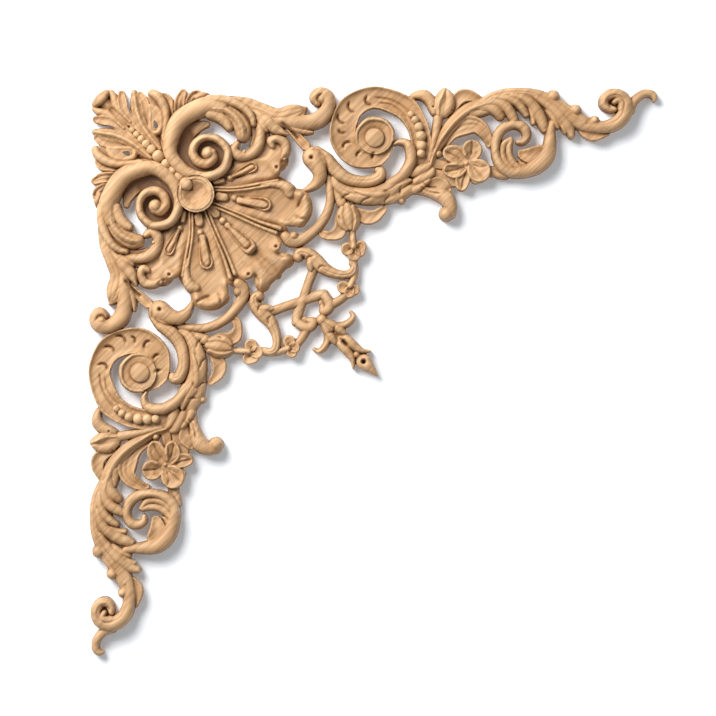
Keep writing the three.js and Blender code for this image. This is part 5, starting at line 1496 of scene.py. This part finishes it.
# this offset drives the painted shade and highlight, and the feet of the sides get painted shade
offset = np.where(on_wall, PAINTED_FOOT_SHADE, -spots[:, 1] / LEVEL - mean[rows, columns])
applique.data.attributes.new("relief_offset", "FLOAT", "POINT").data.foreach_set("value", offset)
applique.data.shade_smooth()
applique.data.set_sharp_from_angle(angle=CREASE_ANGLE)
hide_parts(NODE)
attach(applique, "root")
print("offset from the mean", round(offset.min(), 2), "to", round(offset.max(), 2), "levels")

# %% [markdown]
# ## The picture
#
# The applique lies flat on a white ground and is seen square from the front. The ground is a
# plain sheet just behind it. From behind it is clear and it throws no shadow, so the back of the
# piece can be looked at too, and a faint glow keeps it white out to the corners.

# %% Ground
GROUND_GAP = 0.0008  # metres between the wall side of the piece and the ground
GROUND_REACH = 4.0
GROUND_TONE, GLOW = (0.93, 0.95, 0.97, 1), 0.10


def ground_material():
    material = bpy.data.materials.new("white ground")
    material.use_nodes = True
    tree = material.node_tree
    tree.nodes.clear()
    paper = wired(tree, "ShaderNodeBsdfPrincipled", [
        ("Base Color", GROUND_TONE), ("Roughness", 0.9),
        ("Emission Color", (1, 1, 1, 1)), ("Emission Strength", GLOW)])
    clear = wired(tree, "ShaderNodeBsdfTransparent")
    behind = wired(tree, "ShaderNodeNewGeometry")
    mix = wired(tree, "ShaderNodeMixShader", [
        (0, behind.outputs["Backfacing"]), (1, paper.outputs[0]), (2, clear.outputs[0])])
    wired(tree, "ShaderNodeOutputMaterial", [("Surface", mix.outputs[0])])
    return material


mesh = bpy.data.meshes.new("ground")
corners = [(x * GROUND_REACH, GROUND_GAP, z * GROUND_REACH)
           for x, z in ((-1, -1), (1, -1), (1, 1), (-1, 1))]
mesh.from_pydata(corners, [], [(0, 1, 2, 3)])
mesh.materials.append(ground_material())
ground = shown("ground", mesh)
ground.visible_shadow = False  # so that the lamp behind reaches the back
print("ground", GROUND_REACH * 2, "metres wide")

# %% [markdown]
# A large lamp at the upper left gives soft light, so each leaf throws a short shadow to the lower
# right, and a weak one opposite keeps the shadows from going black. The lens is worked out so
# that one step of the drawing fills one dot of the picture.

# %% Light and camera
PICTURE = 716  # steps across the picture, one to a dot of the photograph
PICTURE_CENTRE = (266, 268)
CAMERA_AWAY = 2.4
SENSOR = 36
LAMPS = {  # metres from the picture's middle, size and power
    "key": ((-1.0, -1.35, 1.15), 1.25, 73),
    "fill": ((0.9, -1.8, -0.2), 1.8, 3),
    "behind": ((0.2, 2.0, 0.3), 1.2, 22)}
ROOM_TONE, ROOM_STRENGTH = (0.93, 0.96, 1.0, 1), 0.32
middle = to_frame(np.array([PICTURE_CENTRE], float), np.zeros(1))[0]


def lamp(name, place, size, power, aim):
    light = bpy.data.lights.new(name, "AREA")
    light.size = size
    light.energy = power
    holder = shown(name, light)
    holder.location = place
    holder.rotation_euler = (Vector(aim) - Vector(place)).to_track_quat("-Z", "Y").to_euler()


for name, (away, size, power) in LAMPS.items():
    lamp(name, (middle[0] + away[0], away[1], middle[2] + away[2]), size, power, middle)
world = bpy.data.worlds.new("pale room")
world.use_nodes = True
world.node_tree.nodes["Background"].inputs["Color"].default_value = ROOM_TONE
world.node_tree.nodes["Background"].inputs["Strength"].default_value = ROOM_STRENGTH
bpy.context.scene.world = world
bpy.context.scene.view_settings.view_transform = "Standard"
lens = bpy.data.cameras.new("front")
lens.sensor_width = SENSOR
lens.lens = SENSOR * CAMERA_AWAY / (PICTURE * STEP)
lens.clip_end = 20
camera = shown("front", lens)
camera.location = (middle[0], -CAMERA_AWAY, middle[2])
camera.rotation_euler = (math.pi / 2, 0, 0)
bpy.context.scene.camera = camera
print("camera at", [round(v, 3) for v in camera.location], "lens", round(lens.lens, 1))
